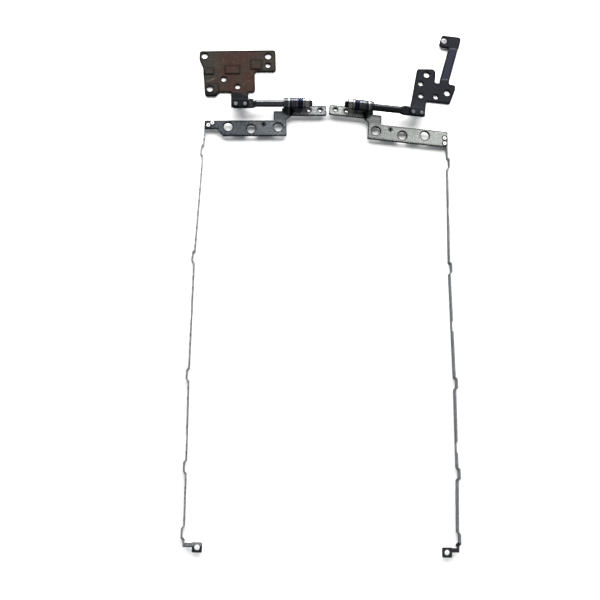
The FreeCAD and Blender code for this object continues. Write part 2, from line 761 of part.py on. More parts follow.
def hinge_shaft(side):
    """The turned rod with its collar, its keyed and threaded end, and the tongue pressed flat."""
    piece = Piece(side, "hinge_shaft")
    half = piece.sketch("profile", "XY_Plane")
    points = [
        (SHAFT_END, "0"),
        (SHAFT_END, "thread_diameter / 2 - end_chamfer"),
        (f"{SHAFT_END} - end_chamfer", "thread_diameter / 2"),
        (NUT_AT, "thread_diameter / 2"),
        (NUT_AT, "shaft_diameter / 2"),
        (COLLAR_IN, "shaft_diameter / 2"),
        (COLLAR_IN, "collar_diameter / 2"),
        (COLLAR_OUT, "collar_diameter / 2"),
        (COLLAR_OUT, "shaft_diameter / 2"),
        (ROD_END, "shaft_diameter / 2"),
        (ROD_END, "0"),
    ]
    piece.polygon(half, points)
    piece.turned("Revolution", half)
    flats = piece.sketch("flats", "YZ_Plane")
    for sign in ("", "-"):
        low = ("-shaft_diameter", f"{sign}flat_width / 2")
        high = ("shaft_diameter", f"{sign}shaft_diameter")
        piece.rectangle(flats, low, high)
    piece.pocket(flats, SHAFT_END)
    rod = piece.sketch("rod_end", "YZ_Plane", ROD_END)
    piece.circle(rod, ("0", "0"), "shaft_diameter")
    blade = piece.sketch("blade", "YZ_Plane", TONGUE_IN)
    low = ("-tongue_width / 2", "-tongue_thickness / 2")
    high = ("tongue_width / 2", "tongue_thickness / 2")
    piece.rectangle(blade, low, high)
    loft = piece.feature("AdditiveLoft", rod)
    loft.Sections = [blade]
    piece.settle(loft)
    tongue_end = f"(-{side}_tongue_end)"
    tongue = piece.sketch("tongue", "YZ_Plane", tongue_end)
    piece.rectangle(tongue, low, high)
    piece.pad(tongue, f"{TONGUE_IN} - {tongue_end}")
    # Under the leaf the back edge is bevelled, parallel to the neck that comes down behind it
    edge = f"(leaf_back - {FOLD_SHIFT} - base_bend * tan({NECK_SLOPE} / 2) - tongue_relief)"
    relief = piece.sketch("relief", "YZ_Plane", tongue_end)
    piece.polygon(relief, [
        (edge, "tongue_thickness / 2"),
        ("tongue_width / 2", "tongue_thickness / 2"),
        ("tongue_width / 2", f"tongue_thickness / 2 - (tongue_width / 2 - {edge}) * tan({NECK_SLOPE})"),
    ])
    piece.pocket(relief, f"-{side}_leaf_inner + tongue_relief - {tongue_end}")
    piece.round_corners([(tongue_end, "-tongue_width / 2"), (tongue_end, "tongue_width / 2")], "tongue_corner")
    holes = piece.sketch("rivet_holes", "XY_Plane")
    for place in ("outer", "inner"):
        piece.circle(holes, (f"-{side}_rivet_{place}", "-rivet_line"), "rivet_diameter + 2 * key_clearance")
    piece.pocket(holes)


def tongue_rivet(side, place):
    """A round rivet through the leaf and the tongue, with a low head on each side."""
    piece = Piece(side, f"tongue_rivet_{place}")
    spot = (f"-{side}_rivet_{place}", "-rivet_line")
    shank = piece.sketch("shank", "XY_Plane", f"-{LEAF_UNDER}")
    piece.circle(shank, spot, "rivet_diameter")
    piece.pad(shank, "tongue_thickness + base_sheet")
    head = piece.sketch("head", "XY_Plane", LEAF_TOP)
    piece.circle(head, spot, "rivet_head")
    piece.pad(head, "rivet_dome")
    piece.bevel_rims("rivet_head", f"{LEAF_TOP} + rivet_dome", "rivet_dome / 2")
    tail = piece.sketch("tail", "XY_Plane", f"-{LEAF_UNDER} - rivet_dome")
    piece.circle(tail, spot, "rivet_head")
    piece.pad(tail, "rivet_dome")


def eyelet_two(side):
    """The second eyelet in the rail's frame, from the first one."""
    if side == "left":
        return "left_eyelet_step", "left_eyelet_rise"
    return "0", "-right_eyelet_drop"


def screen_bracket(side):
    """Main plate, joggled neck and foot in one level profile, with the ear standing on it."""
    piece = Piece(side, "screen_bracket")
    front = "-plate_front"
    section = piece.sketch("section", "YZ_Plane", "-plate_outer")
    piece.polygon(section, [
        (front, PLATE_UNDER),
        ("-joggle_back - joggle_run", PLATE_UNDER),
        ("-joggle_back", NECK_UNDER),
        ("foot_back", NECK_UNDER),
        ("foot_back", NECK_TOP),
        ("-joggle_back", NECK_TOP),
        ("-joggle_back - joggle_run", PLATE_TOP),
        (front, PLATE_TOP),
    ])
    piece.pad(section, "plate_outer + foot_length")

    outline = [
        ("-plate_outer", "-plate_back"),
        ("-neck_outer", "-plate_back"),
        ("-neck_outer", "-neck_back"),
        ("-gusset_outer", "-neck_back"),
        ("-gusset_outer", "-gusset_back"),
        ("-ear_thickness", "-gusset_back"),
        ("-ear_thickness", "foot_back"),
        ("foot_length", "foot_back"),
        ("foot_length", "foot_back - foot_width"),
        ("0", "foot_back - foot_width"),
        ("0", "-joggle_back"),
        ("-plate_inner", "-joggle_back - joggle_run"),
        ("-plate_inner", front),
    ]
    rounded = [outline[0], outline[2], outline[-1]]
    if side == "left":
        narrow = "-(plate_back + narrow_width)"
        outline += [("-narrow_start", front), ("-narrow_end", narrow), ("-plate_outer", narrow)]
    else:
        outline += [("-plate_outer", front)]
    rounded += [outline[-1]]
    waste = piece.sketch("waste", "XY_Plane")
    margin = "foot_length"
    low = (f"-plate_outer - {margin}", f"{front} - {margin}")
    high = (f"foot_length + {margin}", f"foot_back + {margin}")
    piece.rectangle(waste, low, high)
    piece.polygon(waste, outline)
    piece.pocket(waste)
    piece.round_corners(rounded, "plate_corner")
    piece.round_corners([outline[7], outline[8]], "foot_corner")

    ear = piece.sketch("ear", "YZ_Plane", "-ear_thickness")
    ear_outline(ear)
    piece.pad(ear, "ear_thickness")
    roots = piece.edges(x=value(piece.along("-ear_thickness")), z=value(NECK_TOP))
    roots += piece.edges(x=0.0, z=value(NECK_TOP))
    piece.dressed("Fillet", roots, "ear_fillet")
    bore = piece.sketch("bore", "YZ_Plane")
    piece.circle(bore, ("0", "0"), "shaft_diameter + 2 * shaft_clearance")
    piece.pocket(bore)

    holes = piece.sketch("holes", "XY_Plane")
    for place in ("near", "middle", "far"):
        piece.circle(holes, (f"-lid_hole_{place}", f"-lid_hole_{place}_y"), "lid_hole")
    piece.circle(holes, ("-pilot_x", "-pilot_y"), "pilot_hole")
    for place in ("near", "far"):
        piece.circle(holes, (f"foot_hole_{place}", "-foot_hole_y"), "foot_hole")
    step, rise = eyelet_two(side)
    turn = "left_rail_angle" if side == "left" else "-right_rail_angle"
    first = (f"-{side}_eyelet_x", f"-{side}_eyelet_y")
    second = (
        f"{first[0]} + ({step}) * cos({turn}) - ({rise}) * sin({turn})",
        f"{first[1]} + ({step}) * sin({turn}) + ({rise}) * cos({turn})",
    )
    for spot in (first, second):
        piece.circle(holes, spot, "eyelet_diameter + 2 * key_clearance")
    piece.pocket(holes)
    piece.bevel_rims("lid_hole", PLATE_TOP, "lid_hole_bevel")


def ear_outline(drawing):
    """A round head about the shaft, with straight sides that run down to the neck and the foot."""
    radius = value("ear_radius")
    front = FreeCAD.Vector(value("-joggle_back"), value(NECK_UNDER), 0)
    back = FreeCAD.Vector(value("foot_back"), value(NECK_UNDER), 0)
    front_turn = math.atan2(front.y, front.x) - math.acos(radius / front.Length) + 2 * math.pi
    back_turn = math.atan2(back.y, back.x) + math.acos(radius / back.Length)
    front_touch = FreeCAD.Vector(radius * math.cos(front_turn), radius * math.sin(front_turn), 0)
    back_touch = FreeCAD.Vector(radius * math.cos(back_turn), radius * math.sin(back_turn), 0)
    ring = Part.Circle(FreeCAD.Vector(0, 0, 0), FreeCAD.Vector(0, 0, 1), radius)
    low = drawing.addGeometry(Part.LineSegment(front, back))
    rear = drawing.addGeometry(Part.LineSegment(back, back_touch))
    head = drawing.addGeometry(Part.ArcOfCircle(ring, back_turn, front_turn))
    fore = drawing.addGeometry(Part.LineSegment(front_touch, front))
    drawing.addConstraint(Sketcher.Constraint("Coincident", low, 2, rear, 1))
    drawing.addConstraint(Sketcher.Constraint("Coincident", fore, 2, low, 1))
    drawing.addConstraint(Sketcher.Constraint("Tangent", rear, 2, head, 1))
    drawing.addConstraint(Sketcher.Constraint("Tangent", head, 2, fore, 1))
    drawing.addConstraint(Sketcher.Constraint("Coincident", head, 3, -1, 1))
    measure(drawing, "Radius", head, "ear_radius")
    hold(drawing, "DistanceX", low, 1, "-joggle_back")
    hold(drawing, "DistanceY", low, 1, NECK_UNDER)
    hold(drawing, "DistanceX", low, 2, "foot_back")
    hold(drawing, "DistanceY", low, 2, NECK_UNDER)


def rail_place(piece):
    """Put a piece's frame on the first eyelet, turned with the rail."""
    side = piece.side
    reach = piece.along(f"-{side}_eyelet_x")
    turn = f"{side}_angle"
    x = f"{HINGE_X[side]} + ({reach}) * cos({turn}) + {side}_eyelet_y * sin({turn})"
    y = f"{side}_y + ({reach}) * sin({turn}) - {side}_eyelet_y * cos({turn})"
    piece.place(x, y, f"{turn} + {side}_rail_angle")


def rail_course(side):
    """The strip's outer and inner outlines, in the rail's frame, with its bow and its bumps."""
    kinks = [("0", "0")]
    for name in ("second", "third", "fourth"):
        kinks.append((f"bump_{name}", f"{side}_bow_{name}"))
    kinks.append(("rail_end", "0"))

    def bow(place, stretch):
        start, low = kinks[stretch]
        end, high = kinks[stretch + 1]
        return f"({low} + ({high} - {low}) * ({place} - {start}) / ({end} - {start}))"

    step, rise = eyelet_two(side)
    start = f"-({rise}) - rail_leaf_margin" if side == "left" else "-rail_leaf_margin"
    marks = [(start, 0, "0", "0")]
    bumps = (("first", 0, 0), ("second", 0, 1), ("third", 1, 2), ("fourth", 2, 3), ("fifth", 3, 3))
    # A ramp at 45 degrees keeps the strip's thickness when its inner side is moved along by this share
    shift = "rail_sheet * tan(22.5)"
    for name, before, after in bumps:
        low = f"bump_{name} - bump_length / 2"
        high = f"bump_{name} + bump_length / 2"
        marks.append((low, before, "0", shift))
        marks.append((f"{low} + bump_depth", before, "bump_depth", shift))
        marks.append((f"{high} - bump_depth", after, "bump_depth", f"-{shift}"))
        marks.append((high, after, "0", f"-{shift}"))
    marks.append(("rail_end", 3, "0", "0"))
    outer = []
    inner = []
    for place, stretch, out, move in marks:
        outer.append((f"-rail_reach - {bow(place, stretch)} - {out}", f"-({place})"))
        inner.append((f"-rail_reach - {bow(place, stretch)} - {out} + rail_sheet", f"-({place}) - ({move})"))
    return outer + inner[::-1]


def screen_rail(side):
    """A thin strip on edge, with a leaf under the plate at one end and a folded tab at the other."""
    piece = Piece(side, "screen_rail")
    rail_place(piece)
    course = piece.sketch("course", "XY_Plane", TABLE)
    piece.polygon(course, rail_course(side))
    piece.pad(course, "rail_height")

    top = f"{TABLE} + rail_height"
    over = f"{top} + rail_sheet"
    step, rise = eyelet_two(side)
    slope = piece.sketch("slope", "YZ_Plane")
    piece.polygon(slope, [
        ("rail_rise_start", PLATE_UNDER),
        ("-rail_rise_start", PLATE_UNDER),
        ("-rail_rise_end", top),
        ("-rail_rise_end", over),
        ("rail_rise_start", over),
    ])
    piece.pocket(slope)
    edge = piece.sketch("edge", "YZ_Plane")
    for name in ("first", "second", "third"):
        low = (f"-notch_{name} - notch_length / 2", f"{TABLE} + notch_floor")
        high = (f"-notch_{name} + notch_length / 2", over)
        piece.rectangle(edge, low, high)
    low = ("-rail_end - rail_sheet", f"{TABLE} - rail_sheet")
    high = ("-bump_fifth - bump_length / 2 - rail_sheet", f"{top} - rail_end_web")
    piece.rectangle(edge, low, high)
    piece.pocket(edge)

    leaf = piece.sketch("leaf", "XY_Plane", f"{PLATE_UNDER} - rail_sheet")
    back = f"({rise}) + rail_leaf_margin" if side == "left" else "rail_leaf_margin"
    front = "-rail_leaf_margin" if side == "left" else f"({rise}) - rail_leaf_margin"
    piece.rectangle(leaf, ("-rail_reach", front), (f"({step}) + rail_leaf_margin", back))
    piece.pad(leaf, "rail_sheet")

    tab = piece.sketch("tab", "XY_Plane", f"{top} - rail_sheet")
    reach = f"{side}_tab_reach - rail_reach"
    neck_back = "-rail_end + tab_neck"
    pad_back = f"{neck_back} + tab_pad_back"
    pad_front = f"{pad_back} - tab_pad_length"
    corners = [
        (f"{reach} + tab_pad_width / 2", pad_back),
        (f"{reach} + tab_pad_width / 2", pad_front),
        (f"{reach} - tab_pad_width / 2", pad_front),
    ]
    piece.polygon(tab, [
        ("-rail_reach", neck_back),
        (f"{reach} - tab_pad_width / 2", neck_back),
        (f"{reach} - tab_pad_width / 2", pad_back),
        *corners,
        (f"{reach} - tab_pad_width / 2", "-rail_end"),
        ("-rail_reach", "-rail_end"),
    ])
    piece.pad(tab, "rail_sheet")
    piece.round_corners(corners, "tab_corner")
    holes = piece.sketch("holes", "XY_Plane")
    piece.circle(holes, (reach, f"{pad_back} - tab_pad_length / 2"), "tab_hole")
    for spot in (("0", "0"), (step, rise)):
        piece.circle(holes, spot, "eyelet_diameter + 2 * key_clearance")
    piece.pocket(holes)


def rail_eyelet(side, number, spot):
    """A hollow rivet that clamps the rail's leaf under the plate."""
    piece = Piece(side, f"rail_eyelet_{number}")
    rail_place(piece)
    under = f"({PLATE_UNDER} - rail_sheet)"
    levels = (
        ("tube", under, "rail_sheet + bracket_sheet", "eyelet_diameter"),
        ("collar", PLATE_TOP, "eyelet_lip", "eyelet_flange"),
        ("flare", f"{under} - eyelet_lip", "eyelet_lip", "eyelet_flange"),
    )
    for name, level, length, diameter in levels:
        ring = piece.sketch(name, "XY_Plane", level)
        piece.circle(ring, spot, diameter)
        piece.circle(ring, spot, "eyelet_bore")
        piece.pad(ring, length)
    piece.bevel_rims("eyelet_flange", f"{PLATE_TOP} + eyelet_lip", "eyelet_lip / 2")


def keyed_washer(side, name, start, thickness):
    """A flat washer that turns with the shaft: two flats in its hole fit the shaft's flats."""
    piece = Piece(side, name)
    ring = piece.sketch("ring", "YZ_Plane", start)
    piece.circle(ring, ("0", "0"), "stack_diameter")
    piece.double_d(ring, "shaft_diameter + 2 * key_clearance", "flat_width + 2 * key_clearance")
    piece.pad(ring, thickness)
    return piece


def round_washer(side, name, start, thickness):
    """A flat washer with a round hole, on the shaft's journal."""
    piece = Piece(side, name)
    ring = piece.sketch("ring", "YZ_Plane", start)
    piece.circle(ring, ("0", "0"), "stack_diameter")
    piece.circle(ring, ("0", "0"), "shaft_diameter + 2 * key_clearance")
    piece.pad(ring, thickness)


def stop_washer(side):
    """A keyed washer with a lug that meets the foot's back edge when the hinge lies fully open."""
    piece = keyed_washer(side, "stop_washer", STOP_AT, "stop_washer")
    corner = f"sqrt(foot_back ^ 2 + {NECK_TOP} ^ 2)"
    angle = f"(asin((stop_lug_width / 2 + stop_gap) / {corner}) - atan2(-{NECK_TOP}; foot_back))"
    root = "(stack_diameter / 2 * 0.9)"
    points = []
    for reach, share in ((root, "-1"), ("stop_lug_reach", "-1"), ("stop_lug_reach", "1"), (root, "1")):
        across = f"{share} * stop_lug_width / 2"
        y = f"{reach} * cos({angle}) - {across} * sin({angle})"
        z = f"{reach} * sin({angle}) + {across} * cos({angle})"
        points.append((y, z))
    lug = piece.sketch("lug", "YZ_Plane", STOP_AT)
    piece.polygon(lug, points)
    piece.pad(lug, "stop_washer")


def disc_spring(side, index):
    """A dished spring washer; neighbours face opposite ways, rim to rim."""
    piece = Piece(side, f"disc_spring_{index + 1}")
    start = f"({SPRING_AT} + {index} * {SPRING_PITCH})"
    bore = "shaft_diameter / 2 + key_clearance"
    rim = "stack_diameter / 2"
    at_bore, at_rim = ("spring_cone", "0") if index % 2 == 0 else ("0", "spring_cone")
    half = piece.sketch("half", "XY_Plane")
    piece.polygon(half, [
        (f"{start} + {at_bore}", bore),
        (f"{start} + {at_rim}", rim),
        (f"{start} + {at_rim} + spring_sheet", rim),
        (f"{start} + {at_bore} + spring_sheet", bore),
    ])
    piece.turned("Revolution", half)


def lock_nut(side):
    """A hexagon nut with bevelled corners on the shaft's thread."""
    piece = Piece(side, "lock_nut")
    hexagon = piece.sketch("hexagon", "YZ_Plane", NUT_AT)
    corner = "nut_flats / 2 / cos(30)"
    piece.polygon(hexagon, [(f"{corner} * cos({turn})", f"{corner} * sin({turn})") for turn in range(30, 390, 60)])
    piece.circle(hexagon, ("0", "0"), "thread_diameter + 2 * key_clearance")
    piece.pad(hexagon, "nut_height")
    bevel = piece.sketch("bevel", "XY_Plane")
    for face, depth in ((NUT_AT, "nut_bevel"), (NUT_END, "-nut_bevel")):
        piece.polygon(bevel, [
            (face, "nut_flats / 2"),
            (face, "nut_flats / 2 + 2 * nut_bevel"),
            (f"{face} + {depth}", "nut_flats / 2 + 2 * nut_bevel"),
        ])
    piece.turned("Groove", bevel)


left_base_plate()
right_base_plate()
for side in ("left", "right"):
    hinge_shaft(side)
    tongue_rivet(side, "outer")
    tongue_rivet(side, "inner")
    screen_bracket(side)
    screen_rail(side)
    rail_eyelet(side, 1, ("0", "0"))
    rail_eyelet(side, 2, eyelet_two(side))
    round_washer(side, "outer_friction_washer", COLLAR_IN, "friction_washer")
    keyed_washer(side, "inner_friction_washer", "0", "friction_washer")
    stop_washer(side)
    keyed_washer(side, "detent_washer", DETENT_AT, "detent_washer")
    for index in range(4):
        disc_spring(side, index)
    keyed_washer(side, "end_washer", END_WASHER_AT, "end_washer")
    lock_nut(side)

doc.recompute()
broken = [item.Name for item in doc.Objects if "Invalid" in item.State or "Error" in item.State]
if broken:
    raise RuntimeError("failed to build: " + ", ".join(broken))
for part in parts:
    if part.Shape.isNull() or not part.Shape.isValid() or len(part.Shape.Solids) != 1:
        raise RuntimeError(part.Label + " is not one sound solid")

os.makedirs("parts", exist_ok=True)
for part in parts:
    part.Shape.exportStep(f"parts/{part.Label}.step")
    print(part.Label, round(part.Shape.Volume, 2))
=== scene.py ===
# %% [markdown]
# # A pair of laptop hinges, dressed in Blender
# Two steel hinges lie open on a white table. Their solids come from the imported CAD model, so this lesson adds
# what a drawing of solids leaves out: coats of paint and plating, the thread on each shaft, the hammered rivet
# heads, the drawn collars in the screw holes, the light and the camera. Everything is in metres, in the CAD model's
# own frame.

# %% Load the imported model
import bpy
import json
import math
from mathutils import Matrix, Vector


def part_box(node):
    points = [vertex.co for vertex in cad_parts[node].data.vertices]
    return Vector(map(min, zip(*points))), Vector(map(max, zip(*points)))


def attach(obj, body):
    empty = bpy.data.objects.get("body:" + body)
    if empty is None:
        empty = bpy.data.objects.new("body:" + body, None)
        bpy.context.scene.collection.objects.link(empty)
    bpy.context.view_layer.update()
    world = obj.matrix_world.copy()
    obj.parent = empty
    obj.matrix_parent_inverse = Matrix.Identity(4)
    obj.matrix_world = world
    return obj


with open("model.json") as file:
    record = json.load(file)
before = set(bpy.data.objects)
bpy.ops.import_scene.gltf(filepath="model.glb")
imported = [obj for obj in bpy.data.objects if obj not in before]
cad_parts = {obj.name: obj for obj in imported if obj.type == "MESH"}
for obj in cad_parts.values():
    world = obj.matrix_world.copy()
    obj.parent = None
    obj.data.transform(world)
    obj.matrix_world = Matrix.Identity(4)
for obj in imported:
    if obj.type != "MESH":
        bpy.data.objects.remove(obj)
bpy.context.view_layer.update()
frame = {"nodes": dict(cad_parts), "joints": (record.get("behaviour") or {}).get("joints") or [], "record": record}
nodes = frame["nodes"]
MM = 0.001

# %% [markdown]
# ## The way along each hinge
# Marks and small pieces are placed along a shaft, so three things are worked out once for each hinge: where its ear
# stands, which way the nut lies from there, and which way is the front, square to the shaft.

# %% Place and directions of each hinge
ear_place, to_nut, to_front = {}, {}, {}
for joint in frame["joints"]:
    side = joint["name"].split("_")[0]
    hand = 1 if side == "left" else -1
    ear_place[side] = Vector(joint["pos_m"])
    to_nut[side] = Vector(joint["axis"]) * hand
    to_front[side] = Vector((0, 0, 1)).cross(to_nut[side]) * -hand
    print(side, "nut lies towards", [round(v, 3) for v in to_nut[side]])

# %% [markdown]
# ## Three small helpers for every finish
# Colours are picked as sRGB hex values, the way a paint chart gives them, and Blender wants them linear. A finish
# is a tree of nodes. One function adds any node with its settings, its socket values and its links, and another
# starts a new material, which keeps each finish short enough to read in one go.

# %% Helpers for colour and nodes
def linear(code):
    """An sRGB hex colour as linear RGBA."""
    parts = [int(code[i:i + 2], 16) / 255 for i in (1, 3, 5)]
    return [p / 12.92 if p <= 0.04045 else ((p + 0.055) / 1.055) ** 2.4 for p in parts] + [1.0]


def add(tree, kind, values=(), links=(), **settings):
    """Add one node; values are (socket, number or colour) and links are (socket, source socket)."""
    node = tree.nodes.new("ShaderNode" + kind)
    for name, setting in settings.items():
        setattr(node, name, setting)
    for socket, value in values:
        node.inputs[socket].default_value = value
    for socket, source in links:
        tree.links.new(source, node.inputs[socket])
    return node


def finish(name):
    """A new material: its tree, its shader and the place on the piece, in object metres."""
    material = bpy.data.materials.new(name)
    material.use_nodes = True
    tree = material.node_tree
    shader = tree.nodes["Principled BSDF"]
    place = add(tree, "TexCoord").outputs["Object"]
    return material, tree, shader, place


print("white is", linear("#ffffff")[:3], "and mid grey is", [round(v, 3) for v in linear("#808080")[:3]])

# %% [markdown]
# ## Painted shade on edges and in corners
# A stamped edge rolls away from the light and a tight corner between two pieces lies in shade, so every outline and
# every tight corner is painted nearly black, as painted shade. Cycles can round an edge for the eye alone: where that
# rounded normal leaves the true one, the point is near an edge. Ambient occlusion finds the corners. Both masks take
# their reach in millimetres, and one function lays the painted shade over any colour.

# %% Paint shade on edges and in corners
def shade_edges_and_corners(tree, colour, shade_colour, edge_mm, corner_mm):
    """The colour, darkened by painted shade along sharp edges and inside corners."""
    rounded = add(tree, "Bevel", values=[("Radius", edge_mm * MM)], samples=6)
    true = add(tree, "NewGeometry")
    same = add(tree, "VectorMath", operation="DOT_PRODUCT",
               links=[(0, rounded.outputs["Normal"]), (1, true.outputs["Normal"])])
    # painted edge shade: none up to 10 degrees between the two normals, full from 26 degrees, given as cosines
    edge_shade = add(tree, "MapRange", values=[("From Min", 0.985), ("From Max", 0.9)],
               links=[("Value", same.outputs["Value"])])
    hidden = add(tree, "AmbientOcclusion", values=[("Distance", corner_mm * MM)], samples=6)
    corner_shade = add(tree, "MapRange", values=[("From Min", 0.75), ("From Max", 0.25)],
                 links=[("Value", hidden.outputs["AO"])])
    shade_mask = add(tree, "Math", operation="MAXIMUM", links=[(0, edge_shade.outputs["Result"]), (1, corner_shade.outputs["Result"])])
    mixed = add(tree, "Mix", data_type="RGBA", values=[("B", linear(shade_colour))],
                links=[("Factor", shade_mask.outputs["Value"]), ("A", colour)])
    return mixed.outputs["Result"]


print("edges and corners are found in millimetres")

# %% [markdown]
# ## Black electrocoat on the base plates
# Both base plates are stamped steel with a thin black electrocoat: satin, very slightly pebbled, never quite even.
# The right one is a cool charcoal. One flat colour would look like plastic, so coarse noise makes the coat cloudy,
# and fine noise makes its pebble further down.

# %% Right base plate: the cloudy black coat
charcoal, tree, shader, place = finish("black_electrocoat")
cloud = add(tree, "TexNoise", values=[("Scale", 1 / (5 * MM)), ("Detail", 4), ("Roughness", 0.6)],
            links=[("Vector", place)])
coat = add(tree, "Mix", data_type="RGBA", values=[("A", linear("#15161a")), ("B", linear("#212227"))],
           links=[("Factor", cloud.outputs["Fac"])])
print("started", charcoal.name)

# %% [markdown]
# Between the two folds of the right plate's arm the coat is painted with a blue cast, a painted reflection of the
# sloped arm, and along each fold a pale line is painted, a painted highlight on the bend. A Mapping node turns the
# pattern to the arm, so that its Y runs along the arm from the first fold, and both marks are then plain distances
# in millimetres.

# %% Right base plate: the folded arm
FIRST_FOLD, SECOND_FOLD = Vector((60.4, 107.6, 1.2)) * MM, Vector((65.8, 124.6, 2.4)) * MM
ARM_TURN = -0.035  # radians about Z
run = SECOND_FOLD - FIRST_FOLD
on_arm = add(tree, "Mapping", vector_type="TEXTURE",
             values=[("Location", FIRST_FOLD), ("Rotation", (0, 0, ARM_TURN))], links=[("Vector", place)])
arm_way = add(tree, "SeparateXYZ", links=[("Vector", on_arm.outputs["Vector"])])
past_first = add(tree, "MapRange", values=[("From Max", 0.5 * MM)], links=[("Value", arm_way.outputs["Y"])])
past_second = add(tree, "MapRange", values=[("From Min", run.y), ("From Max", run.y - 0.5 * MM)],
                  links=[("Value", arm_way.outputs["Y"])])
on_right = add(tree, "MapRange", values=[("From Min", -4.2 * MM), ("From Max", -3.4 * MM)],
               links=[("Value", arm_way.outputs["X"])])
painted_slope_sheen = add(tree, "Math", operation="MULTIPLY",
              links=[(0, past_first.outputs["Result"]), (1, past_second.outputs["Result"])])
painted_slope_sheen = add(tree, "Math", operation="MULTIPLY",
              links=[(0, painted_slope_sheen.outputs["Value"]), (1, on_right.outputs["Result"])])
# painted reflection: a blue cast on the sloped arm between the folds
coat = add(tree, "Mix", data_type="RGBA", values=[("B", linear("#272833"))],
           links=[("Factor", painted_slope_sheen.outputs["Value"]), ("A", coat.outputs["Result"])])
# painted highlight: a pale line along each fold
for fold_y in (0.0, run.y):
    away = add(tree, "Math", operation="SUBTRACT", values=[(1, fold_y)], links=[(0, arm_way.outputs["Y"])])
    away = add(tree, "Math", operation="ABSOLUTE", links=[(0, away.outputs["Value"])])
    painted_fold_highlight = add(tree, "MapRange", values=[("From Min", 0.45 * MM), ("From Max", 0.2 * MM), ("To Max", 0.7)],
               links=[("Value", away.outputs["Value"])])
    painted_fold_highlight = add(tree, "Math", operation="MULTIPLY",
               links=[(0, painted_fold_highlight.outputs["Result"]), (1, on_right.outputs["Result"])])
    coat = add(tree, "Mix", data_type="RGBA", values=[("B", linear("#4e4f56"))],
               links=[("Factor", painted_fold_highlight.outputs["Value"]), ("A", coat.outputs["Result"])])
print("the folds are", round(run.length / MM, 1), "mm apart")

# %% [markdown]
# Last come the painted shade on the edges, the gloss, which follows the clouds, and the pebble. The pebble is a bump
# and not a shape, because it is only a few hundredths of a millimetre high.

# %% Right base plate: edges, gloss and pebble
# painted shade along the plate's edges and in its corners
edge_shaded = shade_edges_and_corners(tree, coat.outputs["Result"], shade_colour="#050506", edge_mm=1.8, corner_mm=2.0)
tree.links.new(edge_shaded, shader.inputs["Base Color"])
gloss = add(tree, "MapRange", values=[("To Min", 0.42), ("To Max", 0.56)], links=[("Value", cloud.outputs["Fac"])])
tree.links.new(gloss.outputs["Result"], shader.inputs["Roughness"])
# the pebble of a real electrocoat is about 0.1 mm, too fine to show, so it is drawn at 0.35 mm
pebble = add(tree, "TexNoise", values=[("Scale", 1 / (0.35 * MM)), ("Detail", 2)], links=[("Vector", place)])
bump = add(tree, "Bump", values=[("Strength", 0.25), ("Distance", 0.03 * MM)],
           links=[("Height", pebble.outputs["Fac"])])
tree.links.new(bump.outputs["Normal"], shader.inputs["Normal"])
PAINT_SPECULAR = 0.04  # the satin coat hardly shines
shader.inputs["Specular IOR Level"].default_value = PAINT_SPECULAR
print("made", charcoal.name)

# %% [markdown]
# The left plate has the same coat under a film of old brown oil. It is darkest brown over the middle, wears to a
# green black at both ends, and stops at the leaf. A Mapping node centres the film on the plate, so that each limit is
# a distance from the middle, and noise makes it uneven.

# %% Left base plate: where the oil lies
stained, tree, shader, place = finish("oil_stained_electrocoat")
low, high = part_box("left_base_plate")
middle = (low + high) / 2
centred = add(tree, "Mapping", vector_type="POINT", values=[("Location", -middle)], links=[("Vector", place)])
along = add(tree, "SeparateXYZ", links=[("Vector", centred.outputs["Vector"])])
cloud = add(tree, "TexNoise", values=[("Scale", 1 / (6 * MM)), ("Detail", 6), ("Roughness", 0.65)],
            links=[("Vector", place)])
inward = add(tree, "MapRange", values=[("From Min", -17 * MM), ("From Max", -6 * MM)],
             links=[("Value", along.outputs["X"])])
backward = add(tree, "MapRange", values=[("From Min", -7.4 * MM), ("From Max", -5.6 * MM)],
               links=[("Value", along.outputs["Y"])])
film = add(tree, "Math", operation="MULTIPLY",
           links=[(0, inward.outputs["Result"]), (1, backward.outputs["Result"])])
uneven = add(tree, "MapRange", values=[("From Min", 0.3), ("From Max", 0.6), ("To Min", 0.45)],
             links=[("Value", cloud.outputs["Fac"])])
film = add(tree, "Math", operation="MULTIPLY", links=[(0, film.outputs["Value"]), (1, uneven.outputs["Result"])])
wiped = add(tree, "MapRange", values=[("From Min", 14 * MM), ("From Max", 8 * MM), ("To Min", 0.25)],
            links=[("Value", along.outputs["X"])])
film = add(tree, "Math", operation="MULTIPLY", links=[(0, film.outputs["Value"]), (1, wiped.outputs["Result"])])
print("the film is centred at", [round(v / MM, 1) for v in middle], "mm")

# %% [markdown]
# The film is then coloured: gritty brown over gritty green black, and a plain black leaf. Years of handling left fine
# pale scuffs, which are the crests of a stretched noise.

# %% Left base plate: brown, green black and scuffs
speck = add(tree, "TexNoise", values=[("Scale", 1 / (0.7 * MM)), ("Detail", 3)], links=[("Vector", place)])
grit = add(tree, "MapRange", values=[("From Min", 0.3), ("From Max", 0.7)], links=[("Value", speck.outputs["Fac"])])
green = add(tree, "Mix", data_type="RGBA", values=[("A", linear("#232421")), ("B", linear("#2f2f29"))],
            links=[("Factor", grit.outputs["Result"])])
black = add(tree, "Mix", data_type="RGBA", values=[("A", linear("#0f1013"))],
            links=[("Factor", backward.outputs["Result"]), ("B", green.outputs["Result"])])
brown = add(tree, "Mix", data_type="RGBA", values=[("A", linear("#291b18")), ("B", linear("#372722"))],
            links=[("Factor", grit.outputs["Result"])])
oiled = add(tree, "Mix", data_type="RGBA",
            links=[("Factor", film.outputs["Value"]), ("A", black.outputs["Result"]), ("B", brown.outputs["Result"])])
scuff = add(tree, "TexNoise", values=[("Scale", 1 / (7 * MM)), ("Detail", 9), ("Roughness", 0.8),
                                      ("Distortion", 1.6)], links=[("Vector", place)])
